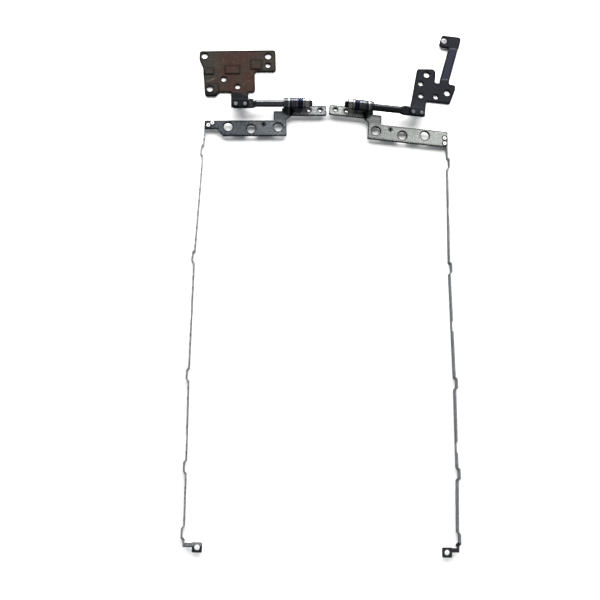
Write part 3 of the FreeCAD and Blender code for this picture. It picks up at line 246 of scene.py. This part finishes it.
thin = add(tree, "MapRange", values=[("From Min", 0.58), ("From Max", 0.66), ("To Max", 0.4)],
           links=[("Value", scuff.outputs["Fac"])])
scuffed = add(tree, "Mix", data_type="RGBA", values=[("B", linear("#65584c"))],
              links=[("Factor", thin.outputs["Result"]), ("A", oiled.outputs["Result"])])
# painted shade along the plate's edges and in its corners
edge_shaded = shade_edges_and_corners(tree, scuffed.outputs["Result"], shade_colour="#060505", edge_mm=1.8, corner_mm=2.0)
tree.links.new(edge_shaded, shader.inputs["Base Color"])
print("coloured", stained.name)

# %% [markdown]
# Oil lies thicker in some places than in others, so the gloss follows the same clouds as the film, and its grit is
# raised a little, as the pebble is on the other plate.

# %% Left base plate: gloss and grit
gloss = add(tree, "MapRange", values=[("To Min", 0.4), ("To Max", 0.6)], links=[("Value", cloud.outputs["Fac"])])
tree.links.new(gloss.outputs["Result"], shader.inputs["Roughness"])
bump = add(tree, "Bump", values=[("Strength", 0.3), ("Distance", 0.03 * MM)],
           links=[("Height", speck.outputs["Fac"])])
tree.links.new(bump.outputs["Normal"], shader.inputs["Normal"])
shader.inputs["Specular IOR Level"].default_value = PAINT_SPECULAR
print("made", stained.name)

# %% [markdown]
# ## Plated screen brackets
# The two brackets were plated in different baths. The left one is a dark blue-grey zinc, finely speckled; the right
# one is a warmer, brighter nickel with a faint green cast. Both are metals, so the colour lives in the reflection.
# The finish is laid in layers, and each layer is a function that takes the colour so far. Most layers are painted
# shade. The first is the speckled tone, with a painted reflection in it: the plate is painted lighter from its outer
# end to its inner end, and the foot lightest.

# %% Plating: speckle and painted reflection along the hinge
def speckle_with_painted_reflection(tree, along, spread, reflection_zones):
    """Speckle between a dark and a light tone, with painted reflection that changes from zone to zone along the
    hinge.
    """
    colour = None
    for (dark, light), start_mm, end_mm in reflection_zones:
        tone = add(tree, "Mix", data_type="RGBA", values=[("A", linear(dark)), ("B", linear(light))],
                   links=[("Factor", spread)])
        if colour:
            reflection_zone = add(tree, "MapRange", values=[("From Min", start_mm * MM), ("From Max", end_mm * MM)],
                       links=[("Value", along)])
            tone = add(tree, "Mix", data_type="RGBA",
                       links=[("Factor", reflection_zone.outputs["Result"]), ("A", colour.outputs["Result"]),
                              ("B", tone.outputs["Result"])])
        colour = tone
    return colour.outputs["Result"]


print("tones change along the hinge")

# %% [markdown]
# The ear is painted dark, as painted shade: it stands in the shadow of the friction stack and mirrors the shaded
# table in front. A Mapping node squeezes the space round the ear, so that a plain length becomes a flat patch.

# %% Plating: painted shade on the ear
EAR_SHADE_REACH = Vector((1.5, 8.0, 8.0)) * MM
EAR_SHADE_FORWARD = Vector((0, -1.5, 0)) * MM


def ear_shaded(tree, colour, place, side, ear_shade_mm):
    """The colour under painted shade, centred ear_shade_mm from the ear towards the nut."""
    centre = ear_place[side] + to_nut[side] * ear_shade_mm * MM + EAR_SHADE_FORWARD
    about_ear = add(tree, "Mapping", vector_type="TEXTURE", links=[("Vector", place)],
                    values=[("Location", centre), ("Scale", EAR_SHADE_REACH)])
    away = add(tree, "VectorMath", operation="LENGTH", links=[(0, about_ear.outputs["Vector"])])
    ear_shade = add(tree, "MapRange", interpolation_type="SMOOTHSTEP",
                 values=[("From Min", 1.0), ("From Max", 0.6), ("To Max", 0.95)],
                 links=[("Value", away.outputs["Value"])])
    # the colour of the painted shade on the ear
    mixed = add(tree, "Mix", data_type="RGBA", values=[("B", linear("#1a1b1e"))],
                links=[("Factor", ear_shade.outputs["Result"]), ("A", colour)])
    return mixed.outputs["Result"]


print("grease reaches", [round(v / MM, 1) for v in EAR_SHADE_REACH], "mm")

# %% [markdown]
# Each lid hole and each eyelet is painted into a dark ring, as painted shade: the shade in the hole's chamfer and in
# the crevice under the eyelet's rim. The distance from its middle, on top of the sheet, draws the ring.

# %% Plating: painted shade round holes and eyelets
PLATE_TOP = 3.6 * MM
LID_HOLES = ((6.5, 10.85), (20.2, 11.8), (31.7, 10.6))  # mm out from the ear, mm in front of the shaft
EYELET_SHADE_RING, LID_HOLE_SHADE_RING = (1.75, 1.3), (2.75, 2.4)  # mm from the middle: clean outside, dark inside


def on_plate(side, out_mm, front_mm):
    """A place on top of a bracket's plate, outwards from the ear and forwards from the shaft."""
    spot = ear_place[side] - to_nut[side] * out_mm * MM + to_front[side] * front_mm * MM
    spot.z = PLATE_TOP
    return spot


def shade_ringed(tree, colour, place, side):
    """The colour with a ring of painted shade round each lid hole and each eyelet of one bracket."""
    rings = [(on_plate(side, *hole), LID_HOLE_SHADE_RING) for hole in LID_HOLES]
    for number in (1, 2):
        low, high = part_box(f"{side}_rail_eyelet_{number}")
        rings.append((Vector(((low.x + high.x) / 2, (low.y + high.y) / 2, high.z)), EYELET_SHADE_RING))
    for centre, (clean_mm, dark_mm) in rings:
        away = add(tree, "VectorMath", operation="DISTANCE", values=[(1, centre)], links=[(0, place)])
        shade_ring = add(tree, "MapRange", values=[("From Min", clean_mm * MM), ("From Max", dark_mm * MM)],
                   links=[("Value", away.outputs["Value"])])
        # the colour of the painted shade rings
        mixed = add(tree, "Mix", data_type="RGBA", values=[("B", linear("#17181a"))],
                    links=[("Factor", shade_ring.outputs["Result"]), ("A", colour)])
        colour = mixed.outputs["Result"]
    return colour


print("rings go round", len(LID_HOLES), "lid holes and two eyelets")

# %% [markdown]
# The upright walls of the sheet are painted dark, as painted shade: they are the sheet's cut edges, which lie in
# shade. A wall is upright, so its normal has hardly any Z. The ear is upright too; it was folded and not cut there,
# and it is left bright.

# %% Plating: painted shade on upright walls
def wall_shaded(tree, colour, along):
    """The colour, darkened by painted shade on upright walls away from the ear."""
    faces = add(tree, "SeparateXYZ", links=[("Vector", add(tree, "TexCoord").outputs["Normal"])])
    upright = add(tree, "Math", operation="ABSOLUTE", links=[(0, faces.outputs["Z"])])
    wall_shade = add(tree, "MapRange", values=[("From Min", 0.5), ("From Max", 0.2), ("To Max", 0.85)],
              links=[("Value", upright.outputs["Value"])])
    off_ear = add(tree, "Math", operation="ABSOLUTE", links=[(0, along)])
    off_ear = add(tree, "MapRange", values=[("From Min", 2.5 * MM), ("From Max", 4 * MM)],
                  links=[("Value", off_ear.outputs["Value"])])
    wall_shade = add(tree, "Math", operation="MULTIPLY", links=[(0, wall_shade.outputs["Result"]), (1, off_ear.outputs["Result"])])
    # the colour of the painted shade on the walls
    mixed = add(tree, "Mix", data_type="RGBA", values=[("B", linear("#1c1d1f"))],
                links=[("Factor", wall_shade.outputs["Value"]), ("A", colour)])
    return mixed.outputs["Result"]


print("walls are found by their normals")

# %% [markdown]
# Both brackets have the same layers, so one loop makes both platings from a short table of what differs. The speckle
# also changes how rough the metal is, and a finer grain breaks up what it mirrors.

# %% Zinc and nickel plating
PLATING = {
    # side: name, the dark and light tone of the plate's outer end, of its inner end and of the foot, painted lighter
    # inwards as painted reflection, and how far towards the nut, in mm, the painted shade sits on the ear
    "left": ("dull_zinc_plate", ("#656b71", "#848b90"), ("#80868a", "#9fa5a7"), ("#b4b8b9", "#dfe2e2"), 0.4),
    "right": ("warm_nickel_plate", ("#cccfc6", "#e5e6df"), ("#aaada6", "#c8cbc5"), ("#dcded5", "#f4f5ee"), -0.2),
}
plating = {}
for side, (name, outer_end, inner_end, foot, ear_shade_mm) in PLATING.items():
    plating[side], tree, shader, place = finish(name)
    # the crystals of a plated coat are far under 0.1 mm, too fine to show, so the speckle is drawn at 0.9 mm
    fine = add(tree, "TexNoise", values=[("Scale", 1 / (0.9 * MM)), ("Detail", 4), ("Roughness", 0.7)],
               links=[("Vector", place)])
    drift = add(tree, "TexNoise", values=[("Scale", 1 / (12 * MM)), ("Detail", 2)], links=[("Vector", place)])
    both = add(tree, "Mix", values=[("Factor", 0.3)],
               links=[("A", fine.outputs["Fac"]), ("B", drift.outputs["Fac"])])
    spread = add(tree, "MapRange", values=[("From Min", 0.34), ("From Max", 0.66)],
                 links=[("Value", both.outputs["Result"])])
    from_ear = add(tree, "VectorMath", operation="SUBTRACT", values=[(1, ear_place[side])], links=[(0, place)])
    along = add(tree, "VectorMath", operation="DOT_PRODUCT", values=[(1, to_nut[side])],
                links=[(0, from_ear.outputs["Vector"])])
    # each zone of painted reflection: its tones, and from where to where along the hinge, in mm, it takes over
    reflection_zones = ((outer_end, -60, -50), (inner_end, -32, -8), (foot, 0.5, 3))
    # painted reflection: the plate lighter towards its inner end, and the foot lightest
    colour = speckle_with_painted_reflection(tree, along.outputs["Value"], spread.outputs["Result"], reflection_zones)
    # painted shade on the ear
    colour = ear_shaded(tree, colour, place, side, ear_shade_mm)
    # painted shade rings round the lid holes and eyelets
    colour = shade_ringed(tree, colour, place, side)
    # painted shade on the upright walls
    colour = wall_shaded(tree, colour, along.outputs["Value"])
    # painted shade along the bracket's edges and in its corners
    edge_shaded = shade_edges_and_corners(tree, colour, shade_colour="#0f1012", edge_mm=1.4, corner_mm=0.35)
    tree.links.new(edge_shaded, shader.inputs["Base Color"])
    gloss = add(tree, "MapRange", values=[("To Min", 0.2), ("To Max", 0.33)],
                links=[("Value", spread.outputs["Result"])])
    tree.links.new(gloss.outputs["Result"], shader.inputs["Roughness"])
    grain = add(tree, "TexNoise", values=[("Scale", 1 / (0.3 * MM)), ("Detail", 3)], links=[("Vector", place)])
    bump = add(tree, "Bump", values=[("Strength", 0.2), ("Distance", 0.02 * MM)],
               links=[("Height", grain.outputs["Fac"])])
    tree.links.new(bump.outputs["Normal"], shader.inputs["Normal"])
    shader.inputs["Metallic"].default_value = 1.0
    print("made", name)

# %% [markdown]
# ## Turned, rolled and sprung steel
# The other steels differ in colour, in gloss and in how coarse their marks are: black oxide on the shafts, the right
# one darker, cold rolled strip for the rails, the left rail's copy painted brighter as painted reflection, tin on the
# eyelets, dark oiled washers, bright turned nuts, blued disc springs and dull rivets. The rails' end tabs are painted
# darker than the strip, as a painted dark reflection of the room above them. Each is a metal with the default IOR,
# black oxide too: it is a film so thin that it still mirrors like steel. Only the matt tin is partly metallic,
# because its white bloom scatters light as paint does.

# %% Steel finishes
STEELS = {
    # name: dark, light, least and most roughness, mark size in mm, width of its painted edge shade in mm
    # turning and rolling marks are about 0.1 mm, too fine to show, so they are drawn at 0.5 mm and more
    "black_oxide_steel": ("#4d4e51", "#6a6b6e", 0.13, 0.22, 0.8, 0.05),
    # the right shaft's copy of black oxide, made darker
    "oiled_black_oxide_steel": ("#252629", "#36373a", 0.16, 0.26, 0.8, 0.05),
    "cold_rolled_strip": ("#989b9c", "#c4c7c8", 0.3, 0.5, 1.5, 0.04),
    # the left rail's copy of the strip, painted brighter as painted reflection
    "bright_rolled_strip": ("#c9cccd", "#f2f4f4", 0.25, 0.4, 1.5, 0.02),
    "matt_tin_plate": ("#e4e4df", "#fafaf7", 0.3, 0.45, 0.6, 0.02),
    "oiled_washer_steel": ("#3f4043", "#66676b", 0.12, 0.2, 0.9, 0.5),
    "bright_turned_steel": ("#5e5955", "#b9b4af", 0.16, 0.3, 0.5, 0.8),
    "blued_spring_steel": ("#1a1d2d", "#303750", 0.24, 0.4, 0.9, 0.1),
    "dull_rivet_steel": ("#484a4d", "#787b7e", 0.3, 0.45, 0.6, 0.1),
}
# the rails' end tabs are painted darker, as painted dark reflection
TAB_PAINTED_SHADE = {"bright_rolled_strip": "#5a5d5f", "cold_rolled_strip": "#46484a"}
TAB_STARTS_MM = -124.2  # along Y
TIN_METALLIC = 0.4
steel = {}
for name, (dark, light, smooth, rough, mark_mm, edge_mm) in STEELS.items():
    steel[name], tree, shader, place = finish(name)
    marks = add(tree, "TexNoise", values=[("Scale", 1 / (mark_mm * MM)), ("Detail", 5), ("Roughness", 0.65)],
                links=[("Vector", place)])
    spread = add(tree, "MapRange", values=[("From Min", 0.34), ("From Max", 0.66)],
                 links=[("Value", marks.outputs["Fac"])])
    colour = add(tree, "Mix", data_type="RGBA", values=[("A", linear(dark)), ("B", linear(light))],
                 links=[("Factor", spread.outputs["Result"])])
    if name in TAB_PAINTED_SHADE:
        way = add(tree, "SeparateXYZ", links=[("Vector", place)])
        tab_shade = add(tree, "MapRange", links=[("Value", way.outputs["Y"])],
                  values=[("From Min", TAB_STARTS_MM * MM), ("From Max", (TAB_STARTS_MM - 1) * MM)])
        colour = add(tree, "Mix", data_type="RGBA", values=[("B", linear(TAB_PAINTED_SHADE[name]))],
                     links=[("Factor", tab_shade.outputs["Result"]), ("A", colour.outputs["Result"])])
    # painted shade along the edges and in the corners
    edge_shaded = shade_edges_and_corners(tree, colour.outputs["Result"], shade_colour="#101113", edge_mm=edge_mm, corner_mm=1.2)
    tree.links.new(edge_shaded, shader.inputs["Base Color"])
    gloss = add(tree, "MapRange", values=[("To Min", smooth), ("To Max", rough)],
                links=[("Value", spread.outputs["Result"])])
    tree.links.new(gloss.outputs["Result"], shader.inputs["Roughness"])
    shader.inputs["Metallic"].default_value = TIN_METALLIC if name == "matt_tin_plate" else 1.0
    print("made", name)

# %% [markdown]
# ## Give each CAD piece its finish
# A CAD piece is never moved or reshaped here. Its one material slot is filled by what the piece is called.

# %% Dress the CAD pieces
BY_PIECE = {
    # part of a piece's name: its steel, and the first that fits is used
    "left_hinge_shaft": "black_oxide_steel",
    "right_hinge_shaft": "oiled_black_oxide_steel",
    "tongue_rivet": "dull_rivet_steel",
    "left_screen_rail": "bright_rolled_strip",
    "right_screen_rail": "cold_rolled_strip",
    "rail_eyelet": "matt_tin_plate",
    "end_washer": "bright_turned_steel",
    "washer": "oiled_washer_steel",
    "disc_spring": "blued_spring_steel",
    "lock_nut": "bright_turned_steel",
}
for name, node in nodes.items():
    side = name.split("_")[0]
    if name.endswith("base_plate"):
        material = stained if side == "left" else charcoal
    elif name.endswith("screen_bracket"):
        material = plating[side]
    else:
        material = steel[next(steel_name for word, steel_name in BY_PIECE.items() if word in name)]
    node.data.materials.clear()
    node.data.materials.append(material)
print("dressed", len(nodes), "pieces")

# %% [markdown]
# ## The thread past each nut
# About a millimetre of thread shows between the nut and the end of the shaft. On the real shaft it is rolled: a ridge
# that climbs round the rod. A triangle is drawn beside the axis, and the Screw modifier carries it round and along.
# The swept ridge is open at both ends, so they are filled, and one ridge is copied to both shafts.

# %% Model one thread ridge
PITCH = 0.45 * MM
RIDGE_SIZE = 0.15 * MM
RIDGE_FROM_AXIS = 1.52 * MM
bpy.ops.object.select_all(action="DESELECT")
bpy.ops.mesh.primitive_circle_add(vertices=3, radius=RIDGE_SIZE, rotation=(math.pi / 2, math.pi / 2, 0))
ridge = bpy.context.object
bpy.ops.object.transform_apply(location=True, rotation=True, scale=True)
bpy.ops.object.mode_set(mode="EDIT")
bpy.ops.transform.translate(value=(RIDGE_FROM_AXIS, 0, 0))
bpy.ops.object.mode_set(mode="OBJECT")
climb = ridge.modifiers.new("climb", "SCREW")
climb.axis = "Z"
climb.screw_offset = PITCH
climb.iterations = 2
climb.steps = climb.render_steps = 32
bpy.ops.object.modifier_apply(modifier="climb")
bpy.ops.object.mode_set(mode="EDIT")
bpy.ops.mesh.select_all(action="SELECT")
bpy.ops.mesh.fill_holes(sides=3)
bpy.ops.mesh.select_all(action="SELECT")
bpy.ops.mesh.normals_make_consistent(inside=False)
bpy.ops.object.mode_set(mode="OBJECT")
bpy.ops.object.shade_smooth_by_angle(angle=math.radians(40))
print("thread ridge:", len(ridge.data.polygons), "faces")

# %% [markdown]
# Each copy is turned to its shaft and moved past its nut inside its own mesh, so the object itself stays at the
# origin, as the CAD pieces do. It takes the finish of its shaft and moves with it.

# %% Put a thread on each shaft
SIDES = ("left", "right")
PAST_NUT = 0.2 * MM
for side in SIDES:
    nut = nodes[f"{side}_lock_nut"].data
    nut_end = max((v.co - ear_place[side]).dot(to_nut[side]) for v in nut.vertices)
    start = ear_place[side] + to_nut[side] * (nut_end + PAST_NUT)
    thread = ridge.copy()
    thread.data = ridge.data.copy()
    thread.name = thread.data.name = f"{side}_shaft_thread"
    thread.data.transform(Matrix.Translation(start) @ to_nut[side].to_track_quat("Z", "Y").to_matrix().to_4x4())
    thread.data.materials.append(steel[BY_PIECE[f"{side}_hinge_shaft"]])
    bpy.context.scene.collection.objects.link(thread)
    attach(thread, f"{side}_base_side")
    print(thread.name, "starts", round((nut_end + PAST_NUT) / MM, 2), "mm from the ear")
bpy.data.objects.remove(ridge)

# %% [markdown]
# ## Hammered rivet heads
# Each leaf is held to its tongue by two rivets, closed by a pointed punch: a low dome with a dimple in the middle.
# A short cylinder becomes that head by a few insets, each one raised or lowered, the way a lathe hand would turn it.

# %% Model one rivet head
HEAD_RADIUS, RIM_HEIGHT = 0.95 * MM, 0.12 * MM
HEAD_STEPS = ((0.2, 0.08), (0.25, 0.04), (0.12, -0.05), (0.16, -0.06))  # mm in and mm up
bpy.ops.object.select_all(action="DESELECT")
bpy.ops.mesh.primitive_cylinder_add(vertices=40, radius=HEAD_RADIUS, depth=RIM_HEIGHT,
                                    location=(0, 0, RIM_HEIGHT / 2))
head = bpy.context.object
bpy.ops.object.transform_apply(location=True, rotation=True, scale=True)
bpy.ops.object.mode_set(mode="EDIT")
bpy.ops.mesh.select_all(action="DESELECT")
bpy.ops.object.mode_set(mode="OBJECT")
for face in head.data.polygons:
    face.select = face.normal.z > 0.9
bpy.ops.object.mode_set(mode="EDIT")
bpy.ops.mesh.select_mode(type="FACE")
for inset_mm, rise_mm in HEAD_STEPS:
    bpy.ops.mesh.inset(thickness=inset_mm * MM)
    bpy.ops.transform.translate(value=(0, 0, rise_mm * MM))
bpy.ops.object.mode_set(mode="OBJECT")
bpy.ops.object.shade_smooth_by_angle(angle=math.radians(55))
print("rivet head:", [round(v / MM, 2) for v in head.dimensions], "mm")

# %% [markdown]
# The head is copied onto the top of each rivet, sunk by a hundredth of a millimetre so that no gap shows.

# %% Put a head on each rivet
HEAD_SUNK = 0.01 * MM
for side in SIDES:
    for place_name in ("outer", "inner"):
        low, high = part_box(f"{side}_tongue_rivet_{place_name}")
        cap = head.copy()
        cap.data = head.data.copy()
        cap.name = cap.data.name = f"{side}_{place_name}_rivet_head"
        cap.data.transform(Matrix.Translation(((low.x + high.x) / 2, (low.y + high.y) / 2, high.z - HEAD_SUNK)))
        cap.data.materials.append(steel["dull_rivet_steel"])
        bpy.context.scene.collection.objects.link(cap)
        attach(cap, f"{side}_base_side")
        print(cap.name, "stands on", round(high.z / MM, 2), "mm")
bpy.data.objects.remove(head)

# %% [markdown]
# ## Drawn collars in the screw holes
# The two holes in each foot and the pilot hole in each plate are drawn: the punch pushes a short collar of metal down
# through the sheet, so that a screw has more to grip. From above that collar is a dark well. An open cylinder is
# narrowed at its lower end, and Solidify then gives it a wall, inwards, so it still fits its hole. There are two
# sizes, so two collars are modelled, and each hole gets a copy.

# %% Model a foot collar and a pilot collar
COLLAR_WALL = 0.16 * MM
COLLAR_SUNK = 0.12 * MM  # from the rim of the hole down to the top of the collar
COLLAR_PLAY = 0.01 * MM  # between the collar and the hole
COLLAR_TAPER = 0.9
foot_screws = {m["name"].split("_")[0]: m for m in frame["record"]["mounts"] if m["name"].endswith("_foot_screws")}
HOLE_SIZES = {
    # kind: radius of the hole, depth of the collar
    "foot": (foot_screws["left"]["dims"]["hole_r_mm"] * MM, 2.4 * MM),
    "pilot": (0.9 * MM, 3.2 * MM),
}
collars = {}
for kind, (radius, depth) in HOLE_SIZES.items():
    bpy.ops.object.select_all(action="DESELECT")
    bpy.ops.mesh.primitive_cylinder_add(vertices=48, radius=radius - COLLAR_PLAY, depth=depth,
                                        end_fill_type="NOTHING", location=(0, 0, -depth / 2 - COLLAR_SUNK))
    collar = collars[kind] = bpy.context.object
    bpy.ops.object.transform_apply(location=True, rotation=True, scale=True)
    bpy.ops.object.mode_set(mode="EDIT")
    bpy.ops.mesh.select_mode(type="VERT")
    bpy.ops.mesh.select_all(action="DESELECT")
    bpy.ops.object.mode_set(mode="OBJECT")
    for vertex in collar.data.vertices:
        vertex.select = vertex.co.z < -depth
    bpy.ops.object.mode_set(mode="EDIT")
    bpy.ops.transform.resize(value=(COLLAR_TAPER, COLLAR_TAPER, 1))
    bpy.ops.object.mode_set(mode="OBJECT")
    wall = collar.modifiers.new("wall", "SOLIDIFY")
    wall.thickness = COLLAR_WALL
    wall.offset = -1
    bpy.ops.object.modifier_apply(modifier="wall")
    bpy.ops.object.shade_smooth_by_angle(angle=math.radians(40))
    lower = max(v.co.xy.length for v in collar.data.vertices if v.co.z < -depth)
    upper = max(v.co.xy.length for v in collar.data.vertices)
    print(kind, "collar: radius", round(upper / MM, 2), "mm at the top and", round(lower / MM, 2), "mm below")

# %% [markdown]
# The foot holes are where the record's mounts put them, and the pilot hole is measured from the ear. A collar is part
# of its bracket, so it takes the same plating and stays with the screen side.

# %% Hang a collar in each hole
PILOT_HOLE = (13.85, 9.3)  # mm out from the ear, mm in front of the shaft
for side in SIDES:
    middle = Vector(foot_screws[side]["pos_m"])
    half = to_nut[side] * (foot_screws[side]["dims"]["pcd_mm"] / 2 * MM)
    for name, kind, centre in (("outer_foot", "foot", middle + half), ("inner_foot", "foot", middle - half),
                               ("pilot", "pilot", on_plate(side, *PILOT_HOLE))):
        collar = collars[kind].copy()
        collar.data = collars[kind].data.copy()
        collar.name = collar.data.name = f"{side}_{name}_collar"
        collar.data.transform(Matrix.Translation(centre))
        collar.data.materials.append(plating[side])
        bpy.context.scene.collection.objects.link(collar)
        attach(collar, "screen_side")
        print(collar.name, "hangs from", [round(v / MM, 2) for v in centre], "mm")
for collar in collars.values():
    bpy.data.objects.remove(collar)

# %% [markdown]
# ## The table
# The hinges lie on white paper, a plain sheet much wider than the picture. It is kept out of the reflections, so the
# rounded rims of the washers mirror the dark below them and get a thin dark outline.

# %% White table
bpy.ops.object.select_all(action="DESELECT")
TABLE_SIZE, TABLE_TOP = 8, -0.02 * MM
bpy.ops.mesh.primitive_plane_add(size=TABLE_SIZE, location=(0, 0, TABLE_TOP))
table = bpy.context.object
table.name = "white_table"
paper, _, shader, _ = finish("white_paper")
shader.inputs["Base Color"].default_value = linear("#f6f7f8")
shader.inputs["Roughness"].default_value = 0.9
table.data.materials.append(paper)
table.visible_glossy = False
print("table at", table.location.z)

# %% [markdown]
# ## The room and the lights
# Bright metal shows what it mirrors, so the room is graded and not one grey: darker at the left, paler at the right,
# dark low down in front and behind, and bright low down at the sides, where the rails look for their shine.

# %% Graded room
sky = bpy.data.worlds.new("studio_room")
sky.use_nodes = True
tree = sky.node_tree
look = add(tree, "SeparateXYZ", links=[("Vector", add(tree, "TexCoord").outputs["Generated"])])
across = add(tree, "MapRange", interpolation_type="SMOOTHSTEP",
             values=[("From Min", -0.08), ("From Max", 0.16), ("To Min", 0.14), ("To Max", 0.68)],
             links=[("Value", look.outputs["X"])])
deep = add(tree, "MapRange", interpolation_type="SMOOTHSTEP",
           values=[("From Min", -0.6), ("From Max", 0.2), ("To Min", 0.8), ("To Max", 1.0)],
           links=[("Value", look.outputs["Y"])])
upper = add(tree, "Math", operation="MULTIPLY", links=[(0, across.outputs["Result"]), (1, deep.outputs["Result"])])
sideways = add(tree, "Math", operation="ABSOLUTE", links=[(0, look.outputs["X"])])
lower = add(tree, "MapRange", interpolation_type="SMOOTHSTEP",
            values=[("From Min", 0.25), ("From Max", 0.6), ("To Min", 0.06), ("To Max", 0.8)],
            links=[("Value", sideways.outputs["Value"])])
above = add(tree, "MapRange", interpolation_type="SMOOTHSTEP", values=[("From Min", -0.1), ("From Max", 0.15)],
            links=[("Value", look.outputs["Z"])])
glow = add(tree, "Mix", links=[("Factor", above.outputs["Result"]), ("A", lower.outputs["Result"]),
                               ("B", upper.outputs["Value"])])
room = tree.nodes["Background"]
room.inputs["Color"].default_value = linear("#f3f6fb")
tree.links.new(glow.outputs["Result"], room.inputs["Strength"])
bpy.context.scene.world = sky
print("made", sky.name)

# %% [markdown]
# A wide softbox behind the hinges lights the matt surfaces and throws short soft shadows towards the camera. A tall
# window at the back is seen only in reflections, where it draws the bright line along the top of shafts and washers.
# Two lights make it easy to set shadow and shine apart.

# %% Softbox and window
AIM = Vector((0, 0.06, 0))
LIGHTS = {
    # name: (place, width, height, watts, tint, seen in reflections, lights matt surfaces)
    "wide_softbox": ((-0.05, 0.6, 0.7), 1.3, 0.85, 26.0, "#fffdf9", False, True),
    "back_window": ((-0.05, 1.0, 0.46), 1.3, 0.86, 24.0, "#ffffff", True, False),
}
for name, (place, width, height, watts, tint, mirrored, matt) in LIGHTS.items():
    light = bpy.data.lights.new(name, "AREA")
    light.shape = "RECTANGLE"
    light.size = width
    light.size_y = height
    light.energy = watts
    light.color = linear(tint)[:3]
    lamp = bpy.data.objects.new(name, light)
    lamp.location = place
    lamp.rotation_mode = "QUATERNION"
    lamp.rotation_quaternion = (AIM - lamp.location).to_track_quat("-Z", "Y")
    lamp.visible_glossy = mirrored
    lamp.visible_diffuse = matt
    bpy.context.scene.collection.objects.link(lamp)
    print(name, round((lamp.location - AIM).length, 2), "m from the table")

# %% [markdown]
# ## The camera
# The photograph was taken from almost straight above, a little to the left and to the front. The camera looks at the
# middle of the picture from there, turned so that the Y axis runs up.

# %% Camera at the photograph's angle
LOOK_AT = Vector((-14.95, -10.09, 0)) * MM
DISTANCE = 367.5 * MM
TO_LEFT, TO_FRONT = math.radians(4), math.radians(10)
towards = Vector((-math.tan(TO_LEFT), -math.tan(TO_FRONT), 1)).normalized()
lens = bpy.data.cameras.new("camera")
lens.lens = 45
lens.sensor_width = 36
lens.clip_start = 0.01
lens.clip_end = 10
camera = bpy.data.objects.new("camera", lens)
up = (Vector((0, 1, 0)) - towards * towards.y).normalized()
right = up.cross(towards)
turn = Matrix((right, up, towards)).transposed()
camera.matrix_world = Matrix.Translation(LOOK_AT + towards * DISTANCE) @ turn.to_4x4()
bpy.context.scene.collection.objects.link(camera)
bpy.context.scene.camera = camera
bpy.context.scene.view_settings.view_transform = "Standard"
print("camera at", [round(v / MM) for v in camera.location], "mm")
